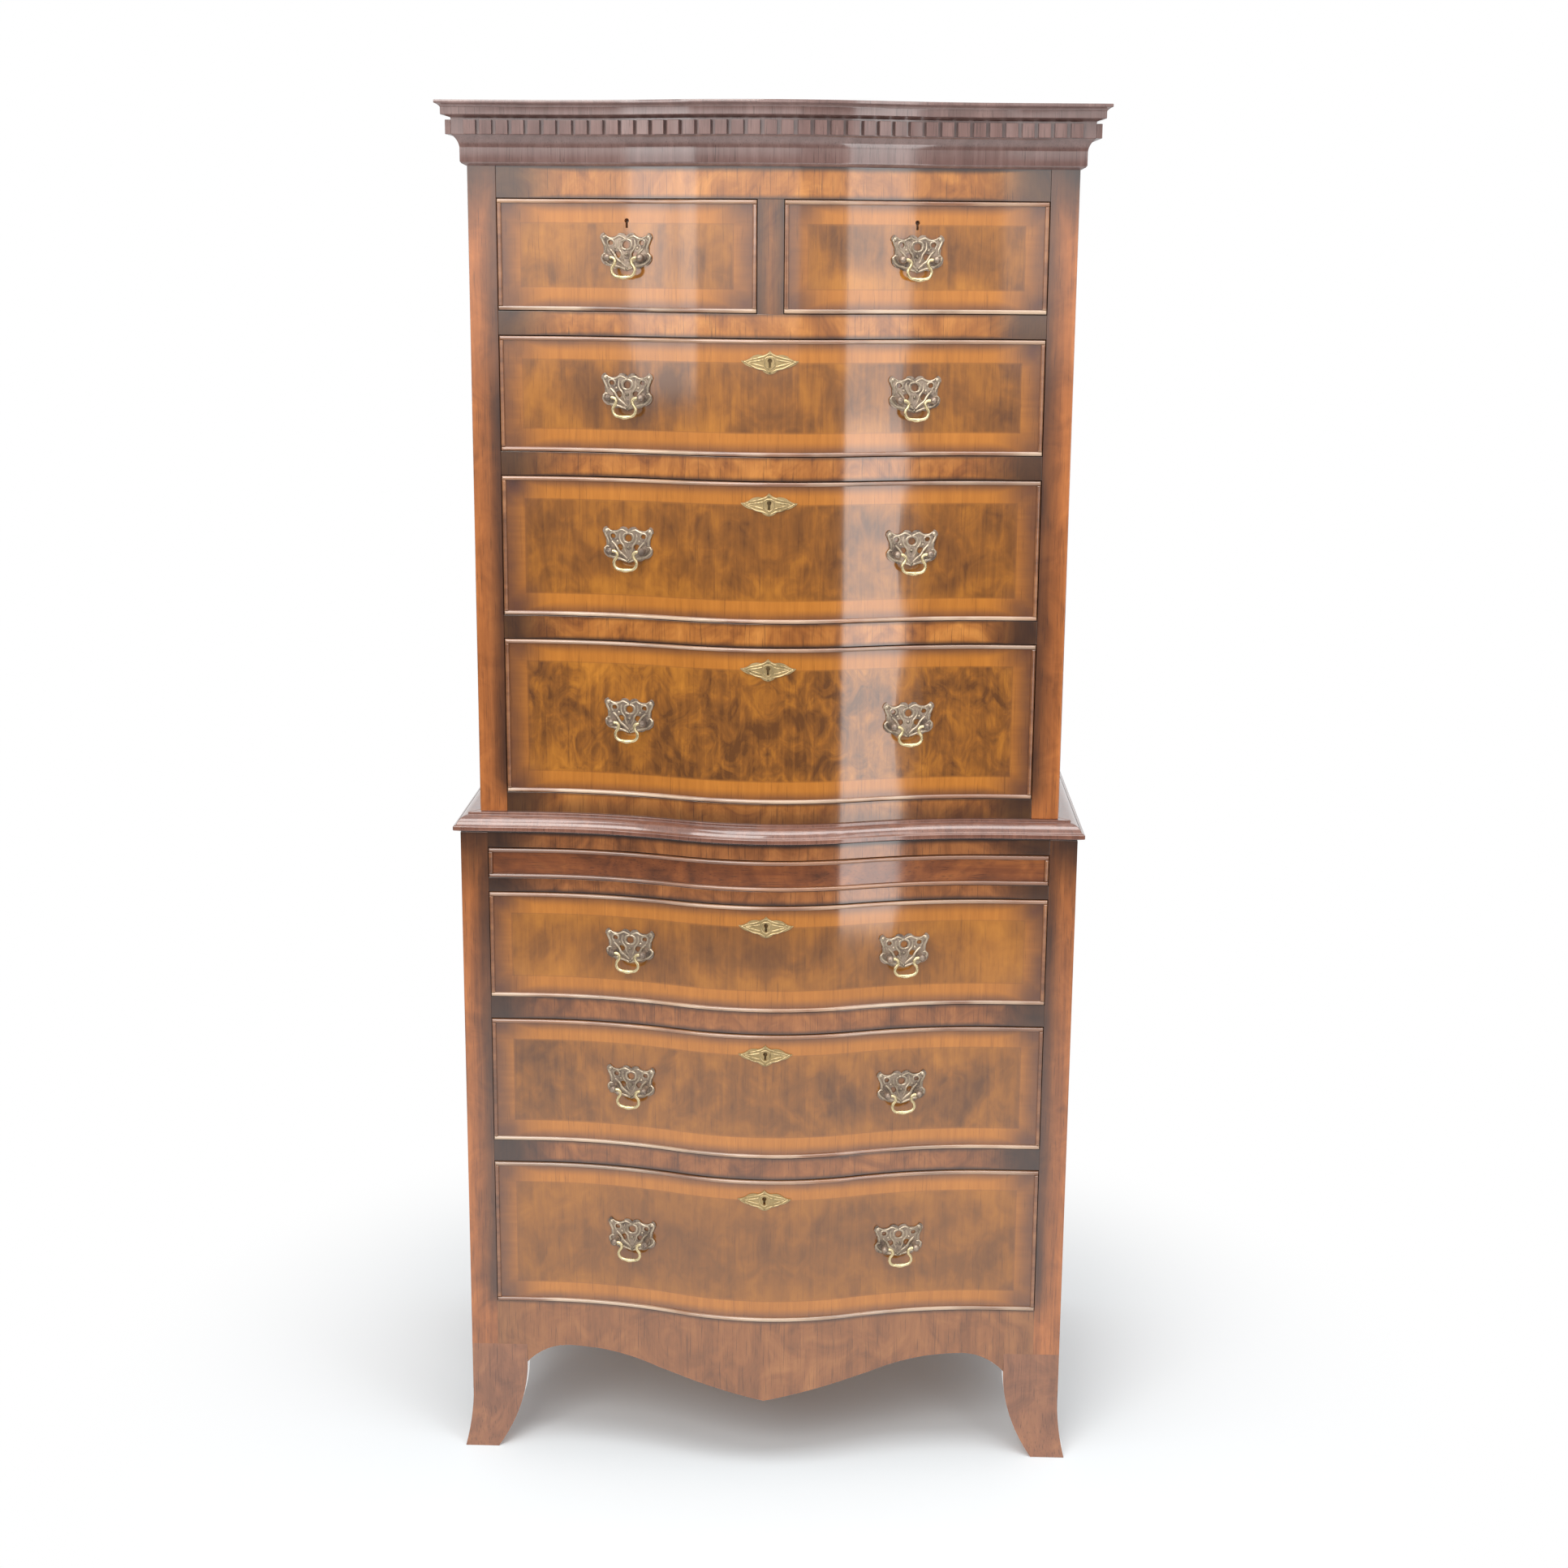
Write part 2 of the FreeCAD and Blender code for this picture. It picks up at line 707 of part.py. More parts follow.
def mitre_sector(name, case, spread, bearing, hand):
    """The part of the plan that belongs to the front (hand 0) or to one return of a mitred moulding."""
    owner = body(name)
    outer, inner = f"plan.{case}_half + {spread}", f"plan.{case}_half - {bearing}"
    depth = f"plan.{case}_depth"
    if hand == 0:
        points = [
            (f"-({inner})", bearing),
            (f"-({outer})", f"-{spread}"),
            (outer, f"-{spread}"),
            (inner, bearing),
        ]
    else:
        sign = "" if hand > 0 else "-"
        points = [
            (f"{sign}({inner})", bearing),
            (f"{sign}({outer})", f"-{spread}"),
            (f"{sign}({outer})", depth),
            (f"{sign}({inner})", depth),
        ]
    pad(owner, draw(sketch_on(owner, "XY_Plane"), points), "plan.cornice_top + size.overrun")
    return place(owner, y=f"plan.{case}_y")


nodes.append(
    group(
        "cornice_moulding",
        moulding(
            "cornice",
            "upper",
            CORNICE_SHARES,
            {
                COVE_EDGE: (f"{COVE_SHARE} * size.cornice_projection", -1),
                CYMA_EDGE: (f"{CYMA_SHARE} * size.cornice_projection", -1),
            },
            "size.cornice_projection",
            "plan.cornice_bottom",
            "size.cornice_height",
        ),
    )
)
nodes.append(
    group(
        "waist_moulding",
        moulding(
            "waist",
            "lower",
            WAIST_SHARES,
            {OVOLO_EDGE: (f"{OVOLO_SHARE} * size.waist_projection", 1)},
            "size.waist_projection",
            "plan.waist_bottom",
            "size.waist_height",
            bearing="size.waist_bearing",
        ),
    )
)


# Dentils: small blocks stepped along the band of the cornice, front and returns
def dentil_course():
    """Blocks at an even pitch along the band's plan, each turned to the front where it stands."""
    band_share = CORNICE_SHARES[4]
    out = band_share[0] * size.cornice_projection + size.dentil_seat
    low = plan.cornice_bottom + band_share[1] * size.cornice_height + size.dentil_seat
    convex = plan.convex_radius + out
    concave = plan.concave_radius - out
    sweep = math.asin(size.curve_span / plan.radius_sum)
    half_run = plan.upper_half + out
    flat = half_run - size.curve_span
    half_length = convex * sweep + concave * sweep + flat
    step = size.dentil_width + size.dentil_gap

    def front_place(along):
        reach = abs(along)
        sign = 1 if along >= 0 else -1
        if reach <= convex * sweep:
            angle = reach / convex
            return (
                sign * convex * math.sin(angle),
                plan.convex_radius - size.bulge - convex * math.cos(angle),
                sign * angle,
            )
        reach -= convex * sweep
        if reach <= concave * sweep:
            angle = sweep - reach / concave
            return (
                sign * (size.curve_span - concave * math.sin(angle)),
                concave * math.cos(angle) - plan.concave_radius,
                sign * angle,
            )
        return sign * (size.curve_span + reach - concave * sweep), -out, 0

    blocks = []
    count = int((half_length - size.dentil_width / 2) / step)
    places = [front_place(step * number) for number in range(-count, count + 1)]
    side_count = int((plan.upper_depth + out) / step)
    for number in range(side_count):
        along = size.dentil_width / 2 + step * number - out
        places.append((-half_run, along, -math.pi / 2))
        places.append((half_run, along, math.pi / 2))
    for x, y, angle in places:
        block = Part.makeBox(size.dentil_width, size.dentil_thick, size.dentil_height)
        block.translate(FreeCAD.Vector(-size.dentil_width / 2, -size.dentil_thick, 0))
        block.rotate(FreeCAD.Vector(0, 0, 0), FreeCAD.Vector(0, 0, 1), math.degrees(angle))
        block.translate(FreeCAD.Vector(x, y, low))
        blocks.append(block)
    course = doc.addObject("Part::Feature", "dentil_course")
    course.Shape = Part.makeCompound(blocks)
    return place(course, y="plan.upper_y")


nodes.append(dentil_course())

# Shaped apron under the lowest drawer
apron_shape = body("apron_shape")
line_rise = "(size.apron_turn_height - size.apron_point_height)"
crown_rise = "(size.apron_peak_height - size.apron_turn_height)"
crown_run = "(size.apron_peak_place - size.apron_turn_place)"
crown_radius = f"({crown_run}^2 + {crown_rise}^2) / (2 * {crown_rise})"
knee_x = "(plan.lower_half - size.foot_width)"
knee_drop = "(size.apron_peak_height - size.foot_knee_height)"
knee_run = f"({knee_x} - size.apron_peak_place)"
knee_radius = f"({knee_run}^2 + {knee_drop}^2) / (2 * {knee_drop})"
right_edge = [
    ("size.apron_turn_place", "size.apron_turn_height"),
    ("size.apron_peak_place", "size.apron_peak_height"),
    (knee_x, "size.foot_knee_height"),
    (knee_x, "size.foot_height"),
    ("plan.lower_opening", "size.foot_height"),
    ("plan.lower_opening", "size.base_height"),
]
left_edge = [(f"-({x})", z) for x, z in right_edge[::-1]]
apron_points = [("0", "size.apron_point_height")] + right_edge + left_edge
apron_arcs = {1: (crown_radius, -1), 2: (knee_radius, -1)}
last = len(apron_points)
apron_arcs.update({last - 2: (crown_radius, -1), last - 3: (knee_radius, -1)})
apron_face = sketch_on(apron_shape, "XZ_Plane", lift="size.bulge + size.overrun")
apron_drawing = draw(apron_face, apron_points, apron_arcs)
pad(apron_shape, apron_drawing, "size.bulge + size.front_thick + 2 * size.overrun", back=True)
place(apron_shape, y="plan.lower_y")
apron = common("apron_piece", apron_stock, apron_shape)
nodes.append(group("apron", [apron]))


# Splayed bracket feet with a glue block in each corner
def foot_outline(edge, inward, splay):
    """Half profile of a foot: its outer edge splays, its inner edge is hollowed from knee to toe."""
    toe = f"{edge} + ({inward}) * size.foot_toe_width"
    knee = f"{edge} + ({inward}) * size.foot_width"
    swing = "(size.foot_width - size.foot_toe_width)"
    knee_radius = f"(size.foot_knee_height^2 + {swing}^2) / (2 * {swing})"
    splay_radius = "(size.foot_splay_height^2 + size.foot_splay^2) / (2 * size.foot_splay)"
    outer = [(edge, "size.foot_height")]
    arcs = {}
    if splay:
        outer += [(edge, "size.foot_splay_height"), (f"{edge} - ({inward}) * size.foot_splay", "0")]
        arcs[1] = (splay_radius, -inward)
    else:
        outer += [(edge, "0")]
    arcs[len(outer)] = (knee_radius, inward)
    points = outer + [(toe, "0"), (knee, "size.foot_knee_height"), (knee, "size.foot_height")]
    return points, arcs


def foot(hand, front):
    name = f"{'front' if front else 'rear'}_foot_{'right' if hand > 0 else 'left'}"
    long = "size.foot_width + size.foot_splay + 2 * size.overrun"
    seen_from_front = body(f"{name}_front_shape")
    side_edge = f"{hand} * plan.lower_half"
    points, arcs = foot_outline(side_edge, -hand, True)
    reach = "size.foot_splay" if front else "size.foot_width - plan.lower_depth"
    drawing = draw(sketch_on(seen_from_front, "XZ_Plane", lift=f"{reach} + size.overrun"), points, arcs)
    pad(seen_from_front, drawing, long, back=True)
    place(seen_from_front, y="plan.lower_y")
    seen_from_side = body(f"{name}_side_shape")
    points, arcs = foot_outline("0", 1, True) if front else foot_outline("plan.lower_depth", -1, False)
    start = f"{hand} * (plan.lower_half - size.foot_width - size.overrun)"
    drawing = draw(sketch_on(seen_from_side, "YZ_Plane", lift=start), points, arcs)
    pad(seen_from_side, drawing, long, back=hand < 0)
    place(seen_from_side, y="plan.lower_y")
    solid = common(f"{name}_solid", seen_from_front, seen_from_side)
    wall = "plan.lower_half - size.foot_wall"
    deep = "size.foot_width + size.overrun"
    edge = "plan.lower_y + size.foot_wall" if front else "plan.lower_y + plan.lower_depth - size.foot_wall"

    def corner_box(role, wide, heights):
        """A box that fills the inner corner of the foot to a given width both ways."""
        across = (f"{wall} - ({wide})", wall) if hand > 0 else (f"-({wall})", f"-({wall}) + {wide}")
        along = (edge, f"{edge} + {wide}") if front else (f"{edge} - ({wide})", edge)
        return box(f"{name}_{role}", across, along, heights)

    hollow = corner_box("hollow", deep, ("-size.overrun", "size.foot_height + size.overrun"))
    block = corner_box("block", "size.block_width", ("size.block_lift", "size.foot_height"))
    return [cut(name, solid, hollow), block]


feet = []
for hand in (-1, 1):
    for front in (True, False):
        feet += foot(hand, front)
nodes.append(group("bracket_feet", feet))

# Dovetails of a drawer side, as shares of one tail's pitch
TAIL_COUNT = 3
TAIL_ROOT_SHARE = 0.26
TAIL_TIP_SHARE = 0.36


def drawer_side(name, drawer, low, high, face, across):
    """A drawer side whose tails lap into the end of the front."""
    owner = body(name)
    pitch = f"(({high}) - ({low})) / {TAIL_COUNT}"
    tip = f"{face} - size.front_thick + size.lap"
    points = [(face, low)]
    for number in range(TAIL_COUNT):
        middle = f"({low}) + {number + 0.5} * {pitch}"
        points += [
            (face, f"{middle} - {TAIL_ROOT_SHARE} * {pitch}"),
            (tip, f"{middle} - {TAIL_TIP_SHARE} * {pitch}"),
            (tip, f"{middle} + {TAIL_TIP_SHARE} * {pitch}"),
            (face, f"{middle} + {TAIL_ROOT_SHARE} * {pitch}"),
        ]
    points += [(face, high), ("size.drawer_length", high), ("size.drawer_length", low)]
    pad(owner, draw(sketch_on(owner, "YZ_Plane"), points), "size.lining_thick")
    return place(owner, x=across, y=f"plan.{drawer['case']}_y")


def front_blank(name, case, left, right, bottom, top):
    """The four strips of the cock bead round one front, and the board that they are let into."""
    ahead = (f"plan.{case}_y - size.bulge - size.overrun", f"plan.{case}_y + plan.{case}_depth")
    between = (f"{bottom} + size.bead_width", f"{top} - size.bead_width")
    strips = []
    for role, across, heights in (
        ("head", (left, right), (between[1], top)),
        ("foot", (left, right), (bottom, between[0])),
        ("left", (left, f"{left} + size.bead_width"), between),
        ("right", (f"{right} - size.bead_width", right), between),
    ):
        length = box(f"{name}_bead_{role}_box", across, ahead, heights)
        strips.append(common(f"{name}_bead_{role}", bead_stock[case], length))
    outer = box(f"{name}_outer", (left, right), ahead, (bottom, top))
    return group(f"{name}_bead", strips), common(f"{name}_board", front_stock[case], outer)


def keyhole(name, drawer):
    """The keyhole, a round eye over a narrow slot, run through front and escutcheon."""
    owner = body(name)
    slot = "size.keyhole_slot / 2"
    foot_of_slot = "-size.keyhole_length"
    points = [(f"-{slot}", foot_of_slot), (slot, foot_of_slot), (slot, "0"), (f"-{slot}", "0")]
    long = "size.front_thick + 2 * size.overrun"
    pad(owner, draw(sketch_on(owner, "XZ_Plane", lift="size.overrun"), points), long, back=True)
    eye = sketch_on(owner, "XZ_Plane", lift="size.overrun")
    ring(eye, "0", "0", "size.keyhole_width / 2")
    pad(owner, eye, long, back=True)
    height = f"{drawer['top']} - size.keyhole_drop"
    return place(owner, z=height, **on_front(drawer["case"], drawer["lock"]))


def mirrored_outline(shares, curve_shares, wide, high):
    """A closed outline from shares of its right half, which runs from the foot of the middle line up."""
    right = [(f"{x} * {wide} / 2", f"{z} * {high}") for x, z in shares]
    left = [(f"-({x})", z) for x, z in right[-2:0:-1]]
    arcs = {edge: (f"{share} * {wide}", side) for edge, (share, side) in curve_shares.items()}
    last = len(right + left) - 1
    arcs.update({last - edge: curve for edge, curve in list(arcs.items())})
    return right + left, arcs


# Winged escutcheon, as shares of its half width and half height, with its curves as shares of the width
ESCUTCHEON_SHARES = [(0, -1), (0.28, -0.62), (0.6, -0.42), (1, 0.12), (0.62, 0.5), (0.26, 0.62), (0, 1)]
ESCUTCHEON_CURVE_SHARES = {
    0: (0.2, 1),
    1: (0.2, -1),
    2: (0.32, 1),
    3: (0.3, -1),
    4: (0.24, 1),
    5: (0.2, -1),
}


def escutcheon(name, drawer, hole):
    case = drawer["case"]
    owner = body(f"{name}_shape")
    points, arcs = mirrored_outline(
        ESCUTCHEON_SHARES, ESCUTCHEON_CURVE_SHARES, "size.escutcheon_width", "size.escutcheon_height / 2"
    )
    drawing = draw(sketch_on(owner, "XZ_Plane", lift="size.overrun"), points, arcs)
    pad(owner, drawing, "2 * size.overrun", back=True)
    height = f"{drawer['top']} - size.keyhole_drop - size.keyhole_length / 4"
    place(owner, z=height, **on_front(case, drawer["lock"]))
    return cut(name, common(f"{name}_plate", escutcheon_stock[case], owner), hole)


# Pierced backplate of a handle, as shares of its half width and its height above and below the posts
PLATE_SHARES = [
    (0, -0.36),
    (0.34, -0.28),
    (0.66, -0.22),
    (0.98, 0.02),
    (0.88, 0.25),
    (1, 0.49),
    (0.86, 0.65),
    (0.56, 0.54),
    (0.3, 0.63),
    (0, 0.56),
]
PLATE_CURVE_SHARES = {
    0: (0.16, -1),
    1: (0.14, 1),
    2: (0.15, 1),
    3: (0.14, -1),
    4: (0.16, -1),
    5: (0.09, 1),
    6: (0.14, -1),
    7: (0.14, -1),
    8: (0.12, 1),
}
PIERCING_SHARES = [
    (0.34, 0.08, 0.062),
    (-0.34, 0.08, 0.062),
    (0.6, 0.4, 0.052),
    (-0.6, 0.4, 0.052),
    (0, 0.34, 0.07),
]


def plate(name, case, hand, height):
    """A backplate that follows the curve of the front under it."""
    owner = body(f"{name}_shape")
    wide, high = "size.plate_width", "size.plate_height"
    points, arcs = mirrored_outline(PLATE_SHARES, PLATE_CURVE_SHARES, wide, high)
    drawing = draw(sketch_on(owner, "XZ_Plane", lift="size.overrun"), points, arcs)
    for x, z, radius in PIERCING_SHARES:
        ring(drawing, f"{x} * {wide} / 2", f"{z} * {high}", f"{radius} * {wide}")
    for end in (-1, 1):
        ring(drawing, f"{end} * plan.post_half", "0", "size.post_shank / 2 + size.post_seat")
    pad(owner, drawing, "2 * size.overrun", back=True)
    place(owner, z=height, **on_front(case, hand))
    return common(name, plate_stock[case], owner)


def at_post(case, hand, end):
    """Place and turn of one post of a handle."""
    centre = on_front(case, hand)
    return {
        "x": f"{centre['x']} + {end} * plan.post_half * cos(plan.handle_turn)",
        "y": f"{centre['y']} + {end * hand} * plan.post_half * sin(plan.handle_turn)",
        "turn": centre["turn"],
    }


def post(name, case, hand, end, height):
    """A turned post with a round head, and a shank that runs through the front to its nut."""
    owner = body(name)
    tail = "size.front_thick + size.nut_thick"
    crown = "sqrt((size.post_head / 2)^2 - (size.post_neck / 2)^2) - plan.pin_y"
    flange_top = "-(plan.post_base + size.post_flange_thick)"
    points = [
        ("0", tail),
        ("0", "-plan.pin_y - size.post_head / 2"),
        ("size.post_neck / 2", crown),
        ("size.post_neck / 2", flange_top),
        ("size.post_flange / 2", flange_top),
        ("size.post_flange / 2", "-plan.post_base"),
        ("size.post_shank / 2", "-plan.post_base"),
        ("size.post_shank / 2", tail),
    ]
    drawing = draw(sketch_on(owner, "XY_Plane"), points, {1: ("size.post_head / 2", 1)})
    turning = owner.newObject("PartDesign::Revolution", f"{name}_turning")
    turning.Profile = drawing
    turning.ReferenceAxis = (drawing, ["V_Axis"])
    turning.Angle = 360
    owner.Tip = turning
    return place(owner, z=height, **at_post(case, hand, end))


def round_bar(name, role, radius, start, long, where, height):
    """A bar square to one plane of its body, from a start below the plane."""
    owner = body(name)
    drawing = sketch_on(owner, role, lift=start)
    ring(drawing, "0", "0", radius)
    pad(owner, drawing, long, back=role == "XZ_Plane")
    return place(owner, z=height, **where)


def nut(name, case, hand, end, height):
    """A hexagon nut on the shank behind the front."""
    owner = body(name)
    reach = "size.nut_width / 2"
    points = []
    for number in range(6):
        angle = number * math.pi / 3
        points.append((f"{math.cos(angle)} * {reach}", f"{math.sin(angle)} * {reach}"))
    drawing = draw(sketch_on(owner, "XZ_Plane", lift="-size.front_thick"), points)
    ring(drawing, "0", "0", "size.post_shank / 2 + size.shank_clearance")
    pad(owner, drawing, "size.nut_thick", back=True)
    return place(owner, z=height, **at_post(case, hand, end))


def bail(name, case, hand, height):
    """A swan-neck bail: pins in the posts, shoulders, necks and hips, and a straight grip."""
    owner = body(name)
    pin_end = "plan.post_half + size.bail_pin"
    shoulder_x = "(plan.post_half - size.post_head / 2 - size.bail_gap)"
    throat_x = f"({shoulder_x} - size.bail_shoulder)"
    neck_x = f"({throat_x} + size.bail_neck * (1 - sqrt(0.5)))"
    neck_z = "(size.bail_shoulder + size.bail_neck * sqrt(0.5))"
    grip_x = f"({neck_x} - size.bail_hip * sqrt(0.5))"
    grip_z = f"({neck_z} + size.bail_hip * (1 + sqrt(0.5)))"
    right = [
        (pin_end, "0"),
        (shoulder_x, "0"),
        (throat_x, "-size.bail_shoulder"),
        (neck_x, f"-{neck_z}"),
        (grip_x, f"-{grip_z}"),
    ]
    left = [(f"-({x})", z) for x, z in right[::-1]]
    arcs = {
        1: ("size.bail_shoulder", 1),
        2: ("size.bail_neck", 1),
        3: ("size.bail_hip", -1),
        5: ("size.bail_hip", -1),
        6: ("size.bail_neck", 1),
        7: ("size.bail_shoulder", 1),
    }
    run = draw(sketch_on(owner, "XZ_Plane", lift="plan.pin_y"), right + left, arcs, closed=False)
    section = sketch_on(owner, "YZ_Plane", lift=pin_end)
    ring(section, "-plan.pin_y", "0", "size.bail_wire / 2")
    pipe = owner.newObject("PartDesign::AdditivePipe", f"{name}_pipe")
    pipe.Profile = section
    pipe.Spine = (run, [f"Edge{number}" for number in range(1, len(right + left))])
    owner.Tip = pipe
    place(owner, z=height, **on_front(case, hand))
    owner.Label = name
    return owner


def handle(name, case, hand, height):
    """Backplate, two bored posts and their nuts, with the shank holes that the front needs."""
    bore = round_bar(
        f"{name}_bore",
        "YZ_Plane",
        "size.bail_wire / 2 + size.bail_clearance",
        "-(plan.post_half + size.bail_pin + size.bail_clearance)",
        "2 * (plan.post_half + size.bail_pin + size.bail_clearance)",
        on_front(case, hand, "-plan.pin_y"),
        height,
    )
    pieces = [plate(f"{name}_plate", case, hand, height)]
    holes = []
    for end, side in ((-1, "left"), (1, "right")):
        blank = post(f"{name}_post_{side}", case, hand, end, height)
        pieces.append(cut(f"{name}_post_{side}", blank, bore))
        pieces.append(nut(f"{name}_nut_{side}", case, hand, end, height))
        holes.append(
            round_bar(
                f"{name}_hole_{side}",
                "XZ_Plane",
                "size.post_shank / 2 + size.shank_clearance",
                "size.overrun",
                "size.front_thick + 2 * size.overrun",
                at_post(case, hand, end),
                height,
            )
        )
    return pieces, holes


def lock(name, drawer, top):
    """The pocket in the back of a front, the lock in it with the channel of its bolt, and the bolt."""

    def block(role, back):
        owner = body(f"{name}_{role}")
        half = "size.lock_width / 2"
        cover = "size.lock_cover"
        points = [(f"-{half}", cover), (half, cover), (half, back), (f"-{half}", back)]
        pad(owner, draw(sketch_on(owner, "XY_Plane"), points), "size.lock_height")
        return place(owner, z=f"{top} - size.lock_height", **on_front(drawer["case"], drawer["lock"]))

    gap = "size.bolt_clearance"
    low = f"{top} - {gap} - size.bolt_height"
    channel = bolt_box(f"{name}_channel", drawer, gap, f"{low} - {gap}", f"{top} + size.overrun")
    bolt = bolt_box(f"{name}_bolt", drawer, "0", low, f"{top} - {gap}")
    bolt.Label = f"{name}_bolt"
    shell = cut(f"{name}_shell", block("case", "size.front_thick"), channel)
    return block("pocket", "size.front_thick + size.overrun"), shell, bolt


def drawer_pieces(drawer):
    """Front, box, brassware, bails and lock bolt of one drawer."""
    name, case = drawer["name"], drawer["case"]
    left, right = f"({drawer['left']} + size.drawer_gap)", f"({drawer['right']} - size.drawer_gap)"
    bottom, top = f"({drawer['bottom']} + size.drawer_gap)", f"({drawer['top']} - size.drawer_gap)"
    low, high = f"({drawer['bottom']} + size.running_gap)", f"({drawer['top']} - size.lining_drop)"
    bead, board = front_blank(name, case, left, right, bottom, top)
    face_left, face_right = drawer["faces"]
    side_left = drawer_side(f"{name}_side_left", drawer, low, high, face_left, left)
    right_place = f"{right} - size.lining_thick"
    side_right = drawer_side(f"{name}_side_right", drawer, low, high, face_right, right_place)
    floor_low = f"({low} + size.bottom_lift)"
    floor_high = f"({floor_low} + size.bottom_thick)"
    back_end = f"plan.{case}_y + size.drawer_length"
    wall = "size.lining_thick - size.groove_depth"
    floor_box = box(
        f"{name}_floor_box",
        (f"{left} + {wall}", f"{right} - ({wall})"),
        (f"plan.{case}_y - size.bulge - size.overrun", back_end),
        (floor_low, floor_high),
    )
    floor = common(f"{name}_floor", floor_stock[case], floor_box)
    back = box(
        f"{name}_back",
        (f"{left} + size.lining_thick", f"{right} - size.lining_thick"),
        (f"{back_end} - size.drawer_back_thick", back_end),
        (floor_high, f"{high} - size.drawer_back_drop"),
    )
    hole = keyhole(f"{name}_keyhole", drawer)
    lock_pocket, lock_shell, bolt = lock(f"{name}_lock", drawer, top)
    brass = [lock_shell]
    if drawer["lock"] == 0:
        brass.append(escutcheon(f"{name}_escutcheon", drawer, hole))
    holes = []
    bails = []
    middle = f"({drawer['bottom']} + {drawer['top']}) / 2 - size.handle_drop"
    for side, hand in drawer["handles"].items():
        pieces, shank_holes = handle(f"{name}_handle{side}", case, hand, middle)
        brass += pieces
        holes += shank_holes
        bails.append(bail(f"{name}_bail{side}", case, hand, middle))
    front = cut(f"{name}_front_board", board, bead, side_left, side_right, floor, lock_pocket, hole, *holes)
    linings = [cut(f"{name}_lining_left", side_left, floor), cut(f"{name}_lining_right", side_right, floor)]
    return [
        group(f"{name}_front", [front, *bead.Links]),
        group(f"{name}_box", linings + [back, floor]),
        group(f"{name}_brassware", brass),
        *bails,
        bolt,
    ]


for drawer in DRAWERS:
    nodes += drawer_pieces(drawer)

# Brushing slide: a flat board behind a narrow beaded front
slide_left = "(-plan.lower_opening + size.drawer_gap)"
slide_right = "(plan.lower_opening - size.drawer_gap)"
slide_bead, slide_strip = front_blank(
    "slide",
    "lower",
    slide_left,
    slide_right,
    "(plan.slide_bottom + size.drawer_gap)",
    "(plan.slide_top - size.drawer_gap)",
)
slide_low = "(plan.slide_bottom + size.running_gap)"
slide_blank = box(
    "slide_blank",
    (slide_left, slide_right),
    ("plan.lower_y - size.bulge - size.overrun", "plan.lower_y + size.slide_length"),
    (slide_low, f"{slide_low} + size.slide_board_thick"),
)
slide_board = common("slide_board", floor_stock["lower"], slide_blank)
slide_front = cut("slide_front", slide_strip, slide_bead, slide_board)
nodes.append(group("brushing_slide", [slide_front, *slide_bead.Links, slide_board]))

doc.recompute()

for thing in doc.Objects:
    if "Invalid" in thing.State or "Error" in thing.State:
        raise RuntimeError(f"{thing.Name} did not build: {thing.State}")
for node in nodes:
    if node.Shape.isNull() or not node.Shape.isValid() or not node.Shape.Solids:
        raise RuntimeError(f"{node.Label} is not a sound solid")

os.makedirs("parts", exist_ok=True)
for node in nodes:
    node.Shape.exportStep(f"parts/{node.Label}.step")
print(len(nodes), "nodes,", sum(len(node.Shape.Solids) for node in nodes), "solids")
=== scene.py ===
# %% [markdown]
# A serpentine chest-on-chest: two cases of drawers, one on the other, veneered in figured walnut.
# Every front bulges in the middle between two hollows, and light runs down it in a soft strip.
# The CAD model comes in first. It fixes each size, place and joint, and what is added here has to fit it.

# %% Load the frame
import json
import math
import bmesh
import bpy
from mathutils import Matrix, Vector

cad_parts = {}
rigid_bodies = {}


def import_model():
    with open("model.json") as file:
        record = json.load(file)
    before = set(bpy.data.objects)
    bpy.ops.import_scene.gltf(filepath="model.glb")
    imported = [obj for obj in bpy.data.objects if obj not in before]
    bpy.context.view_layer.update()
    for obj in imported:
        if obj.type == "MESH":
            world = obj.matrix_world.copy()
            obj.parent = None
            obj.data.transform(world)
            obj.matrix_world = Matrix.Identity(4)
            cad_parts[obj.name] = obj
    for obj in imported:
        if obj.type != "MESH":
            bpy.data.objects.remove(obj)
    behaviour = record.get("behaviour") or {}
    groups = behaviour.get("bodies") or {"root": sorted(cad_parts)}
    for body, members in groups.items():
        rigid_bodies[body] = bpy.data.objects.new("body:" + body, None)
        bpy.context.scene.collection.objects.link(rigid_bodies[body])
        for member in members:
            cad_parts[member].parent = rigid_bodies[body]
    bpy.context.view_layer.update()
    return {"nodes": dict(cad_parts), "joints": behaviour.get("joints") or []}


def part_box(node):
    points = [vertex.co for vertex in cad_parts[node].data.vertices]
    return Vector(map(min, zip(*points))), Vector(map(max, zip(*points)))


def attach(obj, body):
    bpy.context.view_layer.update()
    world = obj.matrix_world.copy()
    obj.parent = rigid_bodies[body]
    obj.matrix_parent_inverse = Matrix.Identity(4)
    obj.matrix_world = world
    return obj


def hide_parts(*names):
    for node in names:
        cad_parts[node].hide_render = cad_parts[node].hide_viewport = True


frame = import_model()
nodes = frame["nodes"]

# %% [markdown]
# The photograph looks down a little, from a bit right of the middle. A camera can be turned by angles, but
# here three directions are worked out, ahead, right and up, and set as the columns of its matrix. That keeps
# the small roll of a hand-held camera apart from its tilt. A Blender camera looks along its own -Z.

# %% Camera
FRAME_PIXELS = 1932
FOCAL_PIXELS = 2923
CAMERA_PLACE = Vector((0.090, -2.79025, 1.417))
YAW, PITCH, ROLL = (math.radians(angle) for angle in (-1.59, 12.89, 0.45))

